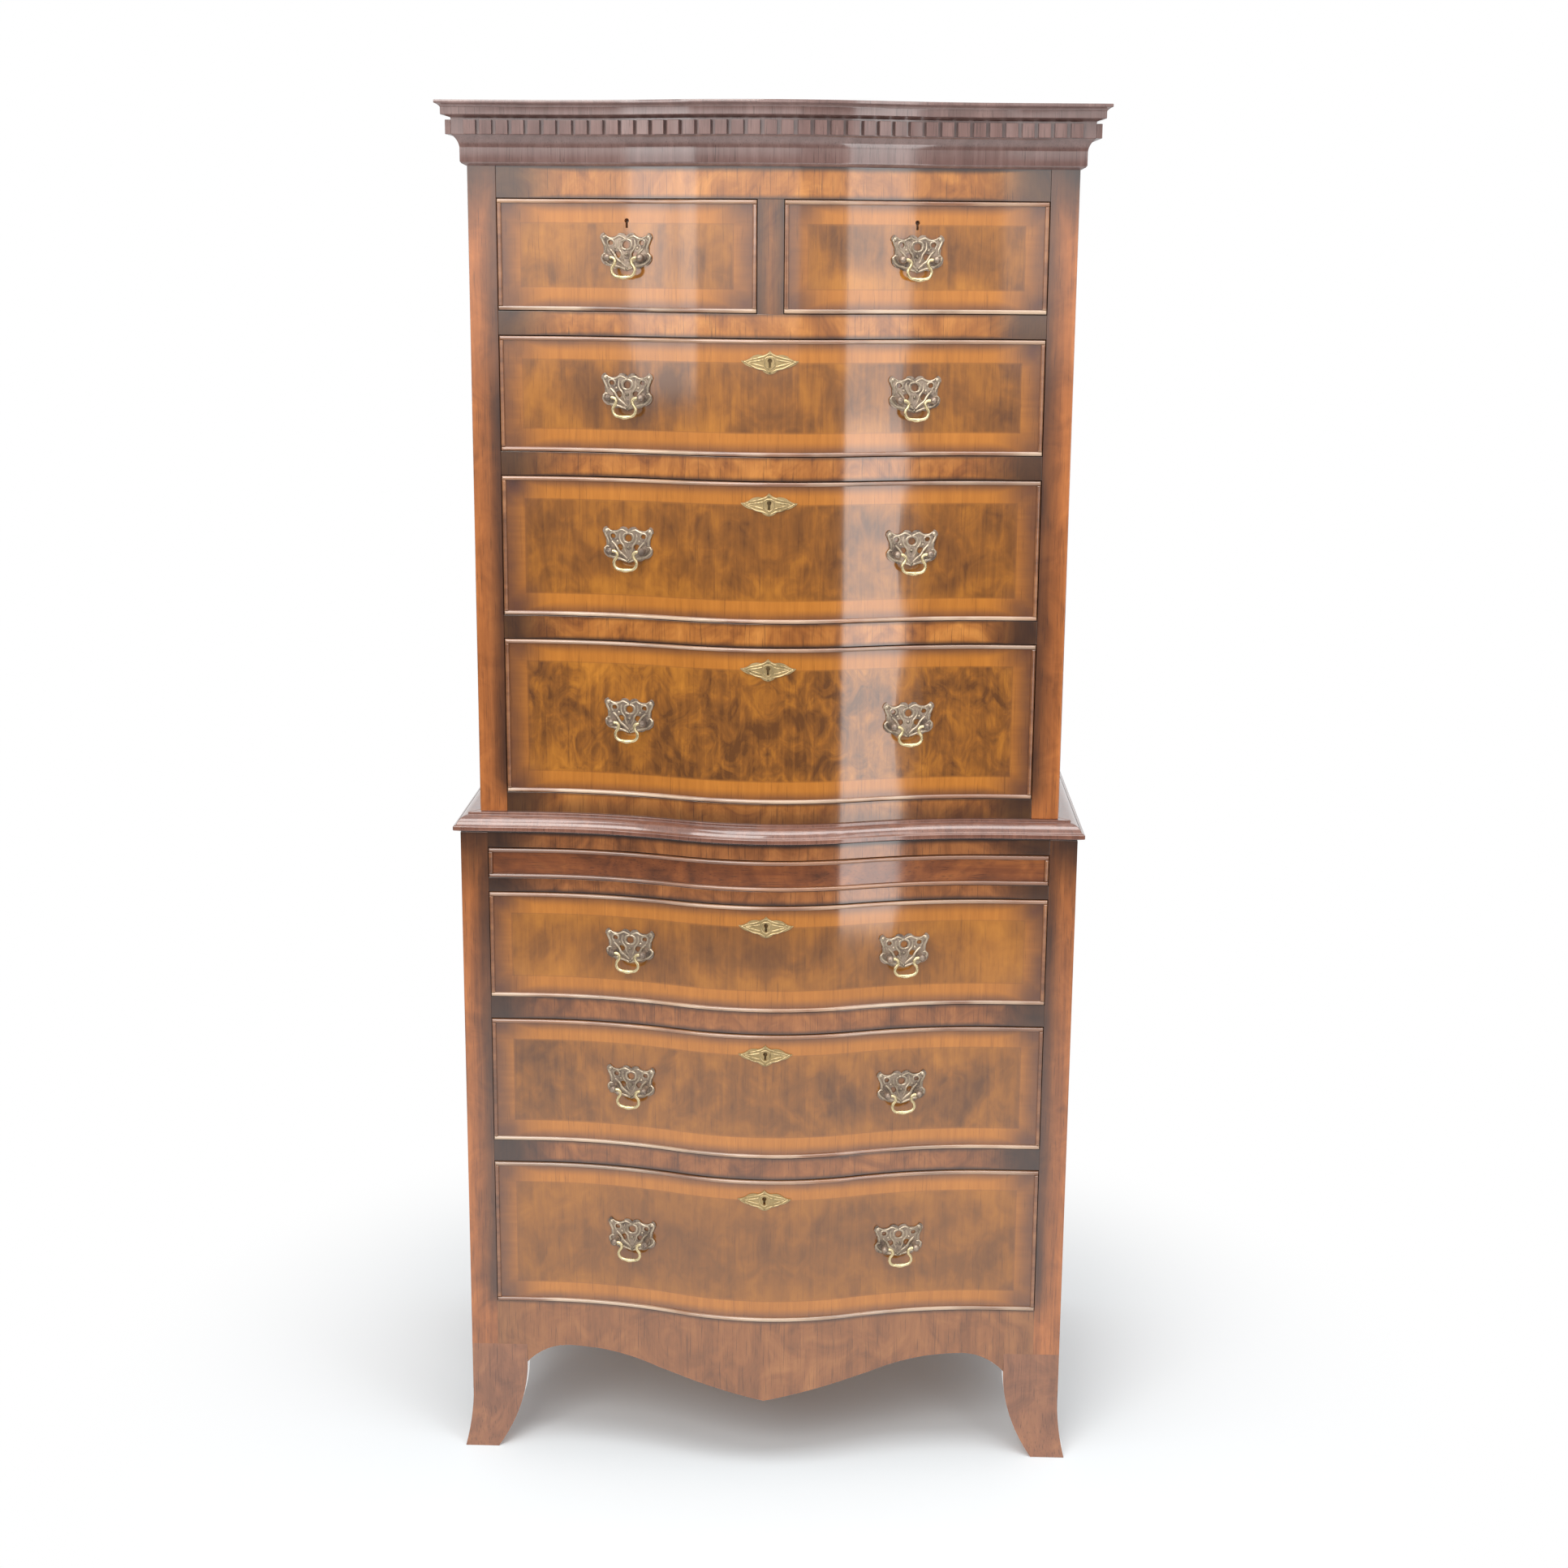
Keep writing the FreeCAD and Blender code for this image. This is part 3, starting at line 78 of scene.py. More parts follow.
ahead = Vector((math.sin(YAW) * math.cos(PITCH), math.cos(YAW) * math.cos(PITCH), -math.sin(PITCH)))
level = Vector((math.cos(YAW), -math.sin(YAW), 0))
lift = level.cross(ahead)
right = math.cos(ROLL) * level + math.sin(ROLL) * lift
up = math.cos(ROLL) * lift - math.sin(ROLL) * level

bpy.ops.object.select_all(action="DESELECT")
bpy.ops.object.camera_add()
camera = bpy.context.object
camera.name = "camera"
camera.data.sensor_width = 36
camera.data.lens = camera.data.sensor_width * FOCAL_PIXELS / FRAME_PIXELS
camera.matrix_world = Matrix.Translation(CAMERA_PLACE) @ Matrix((right, up, -ahead)).transposed().to_4x4()
bpy.context.scene.camera = camera
bpy.context.scene.view_settings.view_transform = "Standard"
print("lens", round(camera.data.lens, 2), "mm")

# %% [markdown]
# Finishes are built from shader nodes. Wiring them one by one hides the idea, so one small class stands for
# a value on its way through the nodes: sums and products of such values add the Math nodes by themselves.
# Every other kind of node comes from its one method, which sets the settings first and then the sockets.


# %% Shader sums
class Flow:
    """A value, vector or colour on its way through a node tree."""

    def __init__(self, tree, socket):
        self.tree = tree
        self.socket = socket

    def node(self, kind, settings=None, sockets=None, out=0):
        made = self.tree.nodes.new(kind)
        for name, setting in (settings or {}).items():
            if name == "stops":
                for spare in list(made.color_ramp.elements)[1:]:
                    made.color_ramp.elements.remove(spare)
                for number, (place, colour) in enumerate(setting):
                    stops = made.color_ramp.elements
                    stop = stops.new(place) if number else stops[0]
                    stop.position = place
                    stop.color = colour
            else:
                setattr(made, name, setting)
        for key, given in (sockets or {}).items():
            if isinstance(given, Flow):
                self.tree.links.new(given.socket, made.inputs[key])
            else:
                made.inputs[key].default_value = given
        return Flow(self.tree, made.outputs[out])

    def math(self, operation, *values):
        return self.node("ShaderNodeMath", {"operation": operation}, dict(enumerate(values)))

    def __add__(self, other):
        return self.math("ADD", self, other)

    __radd__ = __add__

    def __sub__(self, other):
        return self.math("SUBTRACT", self, other)

    def __rsub__(self, other):
        return self.math("SUBTRACT", other, self)

    def __mul__(self, other):
        return self.math("MULTIPLY", self, other)

    __rmul__ = __mul__

    def __truediv__(self, other):
        return self.math("DIVIDE", self, other)

    def __abs__(self):
        return self.math("ABSOLUTE", self)

    def least(self, other):
        return self.math("MINIMUM", self, other)

    def most(self, other):
        return self.math("MAXIMUM", self, other)

    def fade(self, low, high):
        """0 at low and 1 at high, with a soft start and end."""
        sockets = {"Value": self, "From Min": low, "From Max": high}
        return self.node("ShaderNodeMapRange", {"interpolation_type": "SMOOTHSTEP"}, sockets)

    def mix(self, first, second):
        """Two colours, the second where this value is 1."""
        return self.node("ShaderNodeMix", {"data_type": "RGBA"}, {0: self, 6: first, 7: second}, out=2)

    def ramp(self, *stops):
        return self.node("ShaderNodeValToRGB", {"stops": stops}, {0: self})

    def axis(self, name):
        return self.node("ShaderNodeSeparateXYZ", None, {0: self}, out="XYZ".index(name))

    def shifted(self, move):
        return self.node("ShaderNodeVectorMath", {"operation": "ADD"}, {0: self, 1: move})

    def noise(self, stretch, detail=3, rough=0.5, twist=0.0):
        """Soft noise on a place that is squeezed by this much along X, Y and Z."""
        squeezed = self.node("ShaderNodeVectorMath", {"operation": "MULTIPLY"}, {0: self, 1: stretch})
        sockets = {"Vector": squeezed, "Scale": 1, "Detail": detail, "Roughness": rough, "Distortion": twist}
        return self.node("ShaderNodeTexNoise", {"noise_dimensions": "3D"}, sockets)


def tint(red, green, blue):
    """A colour as a screen shows it, 0 to 255, turned into the linear values that light adds up in."""
    share = (channel / 255 for channel in (red, green, blue))
    return tuple(c / 12.92 if c <= 0.04045 else ((c + 0.055) / 1.055) ** 2.4 for c in share) + (1.0,)


print("walnut as linear light", [round(c, 3) for c in tint(150, 95, 45)])

# %% [markdown]
# The piece stands on a pale floor before white. A white world would do, but its light would also lay a grey
# veil over all of the polish. So camera rays see white, scattered light gets an even sky, and mirror rays see
# what stood round the camera: a pale floor close by, a dim room farther off, and light walls above. A wide
# window behind the camera adds haze to the polish, and narrow strips of light at the two sides show as
# bright lines down the front, beside the bulge.

# %% Floor and light
WHITE = (1, 1, 1, 1)
DIM_ROOM = 0.08
SKY_LIGHT = 0.6
FLOOR_COLOUR = (0.86, 0.91, 0.94, 1)
PALE_FLOOR_ENDS = (1.2, 3.2)
SHADOW_ENDS = (0.25, 0.9)

bpy.ops.mesh.primitive_plane_add(size=14)
floor = bpy.context.object
floor.name = "floor"
floor_finish = bpy.data.materials.new("pale_floor")
floor_finish.use_nodes = True
floor_tree = floor_finish.node_tree
floor_shader = floor_tree.nodes["Principled BSDF"]
floor_shader.inputs["Base Color"].default_value = FLOOR_COLOUR
floor_shader.inputs["Roughness"].default_value = 0.7
floor_shader.inputs["Specular IOR Level"].default_value = 0.1
spot = Flow(floor_tree, None).node("ShaderNodeTexCoord", out="Object")
distance = spot.node("ShaderNodeVectorMath", {"operation": "LENGTH"}, {0: spot}, out="Value")
floor_seen = spot.node("ShaderNodeLightPath", out="Is Camera Ray")
floor_mirrored = spot.node("ShaderNodeLightPath", out="Is Glossy Ray")
paleness = floor_seen + floor_mirrored * (DIM_ROOM + (1 - DIM_ROOM) * (1 - distance.fade(*PALE_FLOOR_ENDS)))
glow = spot.node("ShaderNodeEmission", None, {"Color": WHITE, "Strength": paleness})
share = floor_mirrored.most(floor_seen * distance.fade(*SHADOW_ENDS))
plain = Flow(floor_tree, floor_shader.outputs[0])
blend = spot.node("ShaderNodeMixShader", None, {0: share, 1: plain, 2: glow})
floor_tree.links.new(blend.socket, floor_tree.nodes["Material Output"].inputs["Surface"])
floor.data.materials.append(floor_finish)

studio = bpy.data.worlds.new("studio")
studio.use_nodes = True
bpy.context.scene.world = studio
sky = Flow(studio.node_tree, None)
seen = sky.node("ShaderNodeLightPath", out="Is Camera Ray")
glossy = sky.node("ShaderNodeLightPath", out="Is Glossy Ray")
through = sky.node("ShaderNodeLightPath", out="Is Transmission Ray")
direction = sky.node("ShaderNodeTexCoord", out="Generated")
pale = direction.axis("Y").fade(-0.1, 0.35).most(direction.axis("Z").fade(-0.16, 0.08))
room = DIM_ROOM + (1 - DIM_ROOM) * pale
polish = glossy.most(through)
strength = seen + (1 - seen) * (polish * room + (1 - polish) * SKY_LIGHT)
backdrop = studio.node_tree.nodes["Background"]
backdrop.inputs["Color"].default_value = WHITE
studio.node_tree.links.new(strength.socket, backdrop.inputs["Strength"])


def softbox(name, place, target, wide, high, power, colour=(1, 1, 1)):
    """A flat soft light at a place, aimed at a target."""
    aim = (Vector(target) - Vector(place)).to_track_quat("-Z", "Y").to_euler()
    bpy.ops.object.light_add(type="AREA", location=place, rotation=aim)
    light = bpy.context.object
    light.name = name
    light.data.shape = "RECTANGLE"
    light.data.size = wide
    light.data.size_y = high
    light.data.energy = power
    light.data.color = colour
    light.visible_camera = False


softbox("key", (-1.2, -3.2, 2.8), (0, 0, 0.8), 2.0, 2.0, 57, (1, 0.98, 0.95))
softbox("window", (-1.5, -4.6, 1.75), (-1.5, 0, 1.75), 4.6, 1.0, 10)
softbox("sill", (-1.5, -4.6, 1.15), (-1.5, 0, 1.15), 4.6, 0.2, 1.2)
softbox("strip_low", (0.97, -1.43, 0.67), (0.12, -0.2, 0.67), 0.31, 0.9, 2.6)
softbox("strip_high", (0.97, -1.43, 1.57), (0.12, -0.2, 1.57), 0.31, 0.9, 1.6)
softbox("left_strip", (-1.09, -1.51, 1.5), (-0.14, -0.22, 1.5), 0.26, 0.7, 0.9)
softbox("top", (0.2, -0.9, 3.3), (0, -0.1, 1.2), 2.4, 1.6, 46)

# %% [markdown]
# Walnut is darker in the late wood and along its pores, and the fibres run one way. A photograph could be
# wrapped round it, but noise that is squeezed across the grain and drawn out along it needs no unwrapping
# and shows no seam at a corner. Broad noise gives the board's tone, finer noise its streaks and pores.


# %% Plain timber
# A near-black colour for painted shade and shadow in corners and gaps, laid on together with dark toning.
SHADE_AND_GLAZE = (38, 26, 23)
BOARD_JOINT = (40, 26, 16)
FILM = dict(coat_roughness=0.1, coat_ior=1.8)


def start_finish(name):
    """A new material, and the place of each point on the piece it is on."""
    material = bpy.data.materials.new(name)
    material.use_nodes = True
    return material, Flow(material.node_tree, None).node("ShaderNodeTexCoord", out="Object")


def end_finish(material, colour, rough, relief=None, depth=0.0002, metal=None, **uniform):
    """Wires what varies into the shader and sets what is the same all over on its own sockets."""
    shader = material.node_tree.nodes["Principled BSDF"]
    link = material.node_tree.links.new
    link(colour.socket, shader.inputs["Base Color"])
    link(rough.socket, shader.inputs["Roughness"])
    if metal:
        link(metal.socket, shader.inputs["Metallic"])
    if relief:
        bump = relief.node("ShaderNodeBump", None, {"Strength": 1.0, "Distance": depth, "Height": relief})
        link(bump.socket, shader.inputs["Normal"])
    for name, amount in uniform.items():
        shader.inputs[name.replace("_", " ").title().replace("Ior", "IOR")].default_value = amount
    return material


def squeeze(grain, fine, long):
    """How much a pattern is squeezed along X, Y and Z when its grain runs along one of them."""
    return tuple(long if axis == grain else fine for axis in "XYZ")


def fibres(place, grain, seed=0.0):
    """Broad tone, streaks and pores of straight-grained wood, each from 0 to 1."""
    moved = place.shifted((seed, seed * 0.7, seed * 1.3))
    tone = moved.noise(squeeze(grain, 7, 1.6), detail=2, twist=0.6)
    streaks = moved.noise(squeeze(grain, 85, 3.5), detail=4, rough=0.62, twist=0.4)
    pores = moved.noise(squeeze(grain, 900, 28), detail=2)
    return tone, streaks, pores


def timber(name, tones, grain, seed=0.0, polish=1.0, rough=0.36, mottle=0.2, shade=None, boards=0.0):
    """Polished or bare wood, from a dark, a middle and a light tone.

    Mottle is the share of soft clouds in the figure, and boards the width of the boards it is made of, if
    any. A shade is a function of place, 1 where the wood is darkened by dark toning and by painted shade.
    """
    material, place = start_finish(name)
    dark, middle, light = tones
    tone, streaks, pores = fibres(place, grain, seed)
    clouds = place.shifted((seed, seed, seed)).noise((24, 24, 20), detail=4, rough=0.6, twist=1.2)
    depth = (1 - mottle) * (0.45 * tone + 0.55 * streaks) + mottle * clouds
    if boards:
        number = place.axis("X") / boards
        chance = {"W": number.math("FLOOR", number)}
        board_tone = number.node("ShaderNodeTexWhiteNoise", {"noise_dimensions": "1D"}, chance)
        depth = depth + 0.16 * (board_tone - 0.5)
    colour = depth.ramp((0.36, tint(*dark)), (0.5, tint(*middle)), (0.64, tint(*light)))
    colour = (0.5 * pores.fade(0.56, 0.72)).mix(colour, tint(*(0.5 * channel for channel in dark)))
    if boards:
        joint = 1 - abs(number.math("PINGPONG", number, 0.5)).fade(0.004, 0.02)
        colour = (0.85 * joint).mix(colour, tint(*BOARD_JOINT))
    # Painted shade and shadow, together with dark toning, mixed in where the shade function is 1.
    if shade:
        colour = shade(place).mix(colour, tint(*SHADE_AND_GLAZE))
    roughness = rough + 0.16 * (streaks - 0.5) + 0.1 * pores.fade(0.5, 0.75)
    relief = 0.3 * streaks - pores.fade(0.5, 0.75)
    film = dict(coat_weight=polish, specular_ior_level=0.2, **FILM)
    return end_finish(material, colour, roughness, relief, 0.00006, **film)


# The cornice and dentil tones are greyed and paled: partly the walnut's own colour, partly painted haze of
# light reflected in its polish.
CORNICE_TONES = ((94, 68, 63), (114, 85, 79), (134, 104, 97))
WAIST_TONES = ((98, 61, 49), (119, 76, 60), (140, 94, 75))
FOOT_TONES = ((108, 66, 44), (138, 87, 57), (164, 107, 68))
OAK_TONES = ((138, 94, 54), (174, 126, 78), (200, 154, 102))
PINE_TONES = ((112, 74, 42), (150, 105, 64), (176, 130, 82))
cornice_walnut = timber("cornice_walnut", CORNICE_TONES, "Z", 7.7)
dentil_walnut = timber("dentil_walnut", CORNICE_TONES, "Z", 2.3, polish=0.5)
waist_walnut = timber("waist_walnut", WAIST_TONES, "Z", 3.6)
foot_walnut = timber("foot_walnut", FOOT_TONES, "Z", 5.2, mottle=0.5)
lining_oak = timber("lining_oak", OAK_TONES, "Y", 1.7, polish=0.0, rough=0.62)
case_pine = timber("case_pine", PINE_TONES, "X", 4.4, polish=0.0, rough=0.7)
back_pine = timber("back_pine", PINE_TONES, "Z", 8.3, polish=0.0, rough=0.72, boards=0.118)
print("plain timbers", [material.name for material in bpy.data.materials if material.use_nodes][1:])

# %% [markdown]
# The sides, rails and apron are darker in the corners beside each drawer and at the ends of the rails. This
# is partly dark toning and partly painted shade: painted shadow in the gaps over and under each drawer, and
# painted shade beside the drawers, under the mouldings and low on the case. A shade function of place does
# it. It takes the openings from the CAD fronts, so the dark stays in its corners when a drawer's size is
# changed.


# %% Sides, rails and apron, toned and with painted shade
def near(place, axis, marks, reach):
    """1 on any of these marks along an axis, fading out over the reach."""
    along = place.axis(axis)
    lines = [1 - abs(along - mark).fade(0.0, reach) for mark in marks]
    strongest = lines[0]
    for line in lines[1:]:
        strongest = strongest.most(line)
    return strongest


def rail_shade_and_glaze(half_width, tops, bottoms, under, ends=0.86):
    """Toning and painted shade at a rail's ends, painted shadow by each drawer and low on the case."""

    def shade(place):
        patches = place.noise((14, 14, 14), detail=3)
        from_middle = abs(place.axis("X")) + 0.03 * (patches - 0.5)
        outer = ends * from_middle.fade(half_width - 0.085, half_width - 0.012)
        # Painted shadow along the gaps over and under each drawer and at the moulding, painted shade low on
        # the case.
        corners = (0.95 * near(place, "Z", tops, 0.007)).most(0.7 * near(place, "Z", bottoms, 0.006))
        return outer.most(corners).most(0.6 * near(place, "Z", (under,), 0.03))

    return shade


def painted_side_shade(half_width, under, over):
    """Painted shade on a stile along the drawers beside it, and under the moulding on top of the case."""

    def shade(place):
        patches = place.noise((22, 22, 9), detail=3)
        beside = near(place, "X", (-half_width, half_width), 0.028)
        beside = beside * place.axis("Z").fade(under - 0.03, under + 0.02)
        # Painted shade beside the drawers and under the moulding.
        return (0.5 + 0.6 * patches) * beside.most(near(place, "Z", (over,), 0.1))

    return shade


SIDE_TONES = ((118, 66, 33), (168, 98, 47), (200, 121, 60))
RAIL_TONES = {
    "upper": ((122, 68, 28), (170, 104, 42), (200, 130, 58)),
    "lower": ((100, 57, 30), (140, 83, 41), (170, 106, 54)),
}
APRON_TONES = ((112, 66, 34), (144, 88, 46), (168, 108, 58))
BEAD_TONES = ((96, 58, 34), (128, 80, 48), (156, 104, 64))
# A pale colour for the beads: wear, and a painted highlight along them.
WEAR_AND_HIGHLIGHT = (222, 196, 166)
BEAD_MIDDLE = 0.0022
MUNTIN_HALF = 0.015
APRON_HALF, APRON_TOP = 0.34, 0.19
fronts = {node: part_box(node) for node in nodes if node.endswith("_front")}
waist_low, waist_high = (corner.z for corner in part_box("waist_moulding"))
cornice_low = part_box("cornice_moulding")[0].z
for case, number, under, over in (("upper", 4, waist_high, cornice_low), ("lower", 7, 0.0, waist_low)):
    half_width = fronts[f"drawer_{number}_front"][1].x
    mine = [box for box in fronts.values() if under < box[0].z < over]
    # Painted shadow and shade for the rails, painted shade for the stiles.
    shade_and_glaze = rail_shade_and_glaze(half_width, [box[1].z for box in mine] + [over], [box[0].z for box in mine], under)
    stile_painted_shade = painted_side_shade(half_width, min(box[0].z for box in mine), over)
    timber(f"{case}_rail_walnut", RAIL_TONES[case], "Z", number, mottle=0.6, shade=shade_and_glaze)
    timber(f"{case}_side_walnut", SIDE_TONES, "Z", 2 * number, mottle=0.3, shade=stile_painted_shade)
    print(case, "case toned beside", len(mine), "fronts")
# The muntin gets painted shade beside the short drawers and under the cornice.
muntin_painted_shade = painted_side_shade(MUNTIN_HALF, 0.0, cornice_low)
muntin_walnut = timber("muntin_walnut", RAIL_TONES["upper"], "Z", 8.1, mottle=0.4, shade=muntin_painted_shade)
# The apron gets painted shadow under the bottom drawer, and toning at its ends.
apron_shade_and_glaze = rail_shade_and_glaze(APRON_HALF, [APRON_TOP], [fronts["drawer_7_front"][0].z], 0.0, ends=0.25)
apron_walnut = timber("apron_walnut", APRON_TONES, "Z", 9.6, mottle=0.45, shade=apron_shade_and_glaze)


def wear_and_painted_highlight(place):
    """Pale wear along the beads under and over a drawer, where hands rub, that also paints their highlight.
    """
    lower = [box[0].z + BEAD_MIDDLE for box in fronts.values()]
    upper = [box[1].z - BEAD_MIDDLE for box in fronts.values()]
    wear = (0.65 * near(place, "Z", lower, 0.005)).most(0.35 * near(place, "Z", upper, 0.004))
    return wear * place.noise((9, 9, 9), detail=3).fade(0.35, 0.62)


def bead_timber(name, grain, seed):
    """Straight-grained wood, paler in places with wear and a painted highlight."""
    material, place = start_finish(name)
    tone, streaks, _ = fibres(place, grain, seed)
    stops = zip((0.36, 0.5, 0.64), (tint(*colour) for colour in BEAD_TONES))
    # The pale wear along the beads also paints the bright line of light they catch.
    colour = wear_and_painted_highlight(place).mix((0.4 * tone + 0.6 * streaks).ramp(*stops), tint(*WEAR_AND_HIGHLIGHT))
    film = dict(coat_weight=1.0, coat_roughness=0.1, coat_ior=1.7)
    return end_finish(material, colour, 0.3 + 0.1 * streaks, streaks, 0.00004, **film)


bead_walnut = bead_timber("bead_walnut", "X", 2.9)
print("beads rubbed pale on", len(fronts), "fronts")

# %% [markdown]
# A drawer front carries three layers: figured leaves opened like a book in the middle, a band of
# straight-grained veneer laid across the rim, and dark toning in the corners that also paints their shade.
# The leaves could be drawn, but a ping-pong of the distance along the front mirrors one noise from leaf to
# leaf, as real leaves are.

# %% Drawer veneer
BEAD = 0.0045
BAND = 0.0205


def veneer(name, low, high, seed, leaves=4, burr=0.25, amber=0.0, depth=0.0, bold=1.0):
    """Matched leaves inside a crossband, for a front that fills the box from low to high.

    Burr is the share of small curls, amber lightens the two ends, depth darkens the whole panel, and bold
    is how strongly the figure stands out.
    """
    material, place = start_finish(name)
    x, z = place.axis("X"), place.axis("Z")
    middle_x, middle_z = (low.x + high.x) / 2, (low.z + high.z) / 2
    from_end = (high.x - low.x) / 2 - BEAD - abs(x - middle_x)
    from_edge = (high.z - low.z) / 2 - BEAD - abs(z - middle_z)
    rim = from_end.least(from_edge)
    leaf = x.math("PINGPONG", x - low.x, (high.x - low.x) / leaves)
    sheet = leaf.node("ShaderNodeCombineXYZ", None, {"X": leaf, "Y": 0.35 * x, "Z": z})
    sheet = sheet.shifted((seed, 0.3 * seed, 1.7 * seed))

    clouds = sheet.noise((11, 4, 9), detail=3, twist=1.2)
    curls = sheet.noise((42, 20, 30), detail=5, rough=0.6, twist=0.5 + 2.0 * burr)
    streaks = sheet.noise((120, 5, 10), detail=4, rough=0.6, twist=0.9)
    figure = 0.9 * (clouds - 0.5) + (0.35 + burr) * (curls - 0.5) + 0.42 * (streaks - 0.5)
    figure = 0.505 + bold * figure
    figure = figure + amber * abs(x - middle_x).fade(0.1, 0.3) - depth - 0.06 * rim.fade(BAND, BAND + 0.03)
    leaves_colour = figure.ramp(
        (0.24, tint(98, 58, 22)),
        (0.42, tint(134, 81, 27)),
        (0.56, tint(160, 99, 30)),
        (0.76, tint(186, 118, 36)),
    )

    upright = x.math("LESS_THAN", from_edge, from_end)
    combed = place.shifted((0.4 * seed, 0, seed))
    across = combed.noise((210, 4, 9), 3, 0.55, 0.3)
    along = combed.noise((9, 4, 210), 3, 0.55, 0.3)
    comb = 0.6 * (upright * across + (1 - upright) * along) + 0.4 * combed.noise((16, 4, 16))
    band_colour = comb.ramp((0.3, tint(168, 102, 34)), (0.5, tint(180, 111, 38)), (0.7, tint(192, 120, 43)))
    inside = rim.fade(BAND - 0.002, BAND + 0.002)
    colour = inside.mix(band_colour, leaves_colour)
    seam = 1 - abs(rim - BAND).fade(0.0002, 0.001)
    colour = (0.2 * seam).mix(colour, tint(88, 50, 24))

    # Darker at the ends and in the corners inside the bead: toning and painted corner shade.
    patches = place.noise((26, 26, 26), detail=3)
    corner = (1 - from_end.fade(0.004, 0.055)) * (1 - from_edge.fade(0.004, 0.055))
    shade_and_glaze = (0.85 * (1 - from_end.fade(0.0, 0.034))).most(0.7 * (1 - from_edge.fade(0.0, 0.012)))
    shade_and_glaze = shade_and_glaze.most(0.95 * corner) * (0.5 + 0.75 * patches)
    colour = shade_and_glaze.mix(colour, tint(84, 53, 44))

    pores = place.noise((700, 700, 30), detail=2)
    colour = (0.3 * pores.fade(0.58, 0.74)).mix(colour, tint(66, 36, 18))
    rough = 0.34 + 0.14 * (streaks - 0.5) + 0.08 * curls
    relief = 0.4 * streaks + 0.3 * curls - 0.5 * pores.fade(0.55, 0.75) - 0.8 * seam
    film = dict(coat_weight=1.0, specular_ior_level=0.15, **FILM)
    return end_finish(material, colour, rough, relief, 0.00005, **film)


VENEERS = {
    "drawer_1_left": dict(seed=1.3, leaves=2, burr=0.1, depth=-0.01),
    "drawer_1_right": dict(seed=2.6, leaves=2, burr=0.1, depth=0.02),
    "drawer_2": dict(seed=4.1, leaves=4, burr=0.1, depth=0.03),
    "drawer_3": dict(seed=5.7, leaves=4, burr=0.2, depth=0.0),
    "drawer_4": dict(seed=7.2, leaves=4, burr=0.55, depth=0.01),
    "drawer_5": dict(seed=8.8, leaves=4, burr=0.15, amber=0.12, depth=0.03, bold=0.7),
    "drawer_6": dict(seed=9.9, leaves=4, burr=0.25, depth=0.03, bold=0.7),
    "drawer_7": dict(seed=11.4, leaves=3, burr=0.3, depth=0.02, bold=0.5),
}
veneers = {}
for drawer, look in VENEERS.items():
    veneers[drawer] = veneer(f"{drawer}_veneer", *fronts[f"{drawer}_front"], **look)
print(len(veneers), "drawer fronts veneered")

# %% [markdown]
# The brass is old lacquered casting: bright where hands rub it, grey-green in the hollows. One mask of broad
# patches and fine specks drives colour, shine and metalness together, so a dull spot is dull in every way.


# %% Brass and steel
KEPT_BRIGHT = (176, 152, 108)


def old_metal(name, bright, dull, seed, shine=0.22, tarnish=(0.44, 0.62), metal=0.95, pale=None):
    """Metal with a patina that is duller in patches.

    Pale is a function of place, 1 where the metal was kept bright.
    """
    material, place = start_finish(name)
    moved = place.shifted((seed, seed, seed))
    patches = moved.noise((70, 70, 70), detail=4, rough=0.6)
    specks = moved.noise((520, 520, 520), detail=3)
    patina = (0.65 * patches + 0.35 * specks).fade(*tarnish)
    colour = patina.mix(tint(*bright), tint(*dull))
    if pale:
        colour = pale(place).mix(colour, tint(*KEPT_BRIGHT))
    rough = shine + 0.26 * patina + 0.08 * specks
    return end_finish(material, colour, rough, specks, 0.00006, metal=metal - 0.35 * patina)


def escutcheons(place):
    """1 round the middle of the case, where the escutcheons of the long drawers are."""
    return 1 - abs(place.axis("X")).fade(0.04, 0.06)


plate_brass = old_metal(
    "plate_brass", (160, 142, 126), (100, 86, 76), 0.4, 0.32, metal=0.75, pale=escutcheons
)
relief_brass = old_metal("relief_brass", (196, 180, 158), (134, 119, 101), 2.7, 0.26, (0.44, 0.66), 0.8)
bail_brass = old_metal("bail_brass", (220, 202, 158), (152, 134, 100), 1.9, 0.22, (0.52, 0.74), 0.85)
escutcheon_brass = old_metal("escutcheon_brass", (208, 186, 142), (132, 112, 76), 3.3, 0.26, (0.44, 0.66))
bolt_steel = old_metal("bolt_steel", (150, 148, 144), (84, 76, 68), 5.1, 0.3)
print("metals", [m.name for m in (plate_brass, relief_brass, bail_brass, escutcheon_brass, bolt_steel)])

# %% [markdown]
# Most pieces of the case are already right in the CAD model, but their edges are dead sharp, and no hand-made
# edge is. A copy of each is merged, its flat triangles are dissolved, and every crisp edge gets a small
# bevel. Smooth shading over a bevel bends the light across the flat face beside it too, so weighted normals
# keep the flats flat. The copy replaces its node. Both modifiers could stay live, but here they are applied.


# %% Softened case
FLAT = math.radians(0.05)
CRISP = math.radians(38)
SMOOTH_CASE = math.radians(40)


def only(*things):
    """Selects these objects and nothing else, the first one active."""
    bpy.ops.object.select_all(action="DESELECT")
    for thing in things:
        thing.select_set(True)
    bpy.context.view_layer.objects.active = things[0]


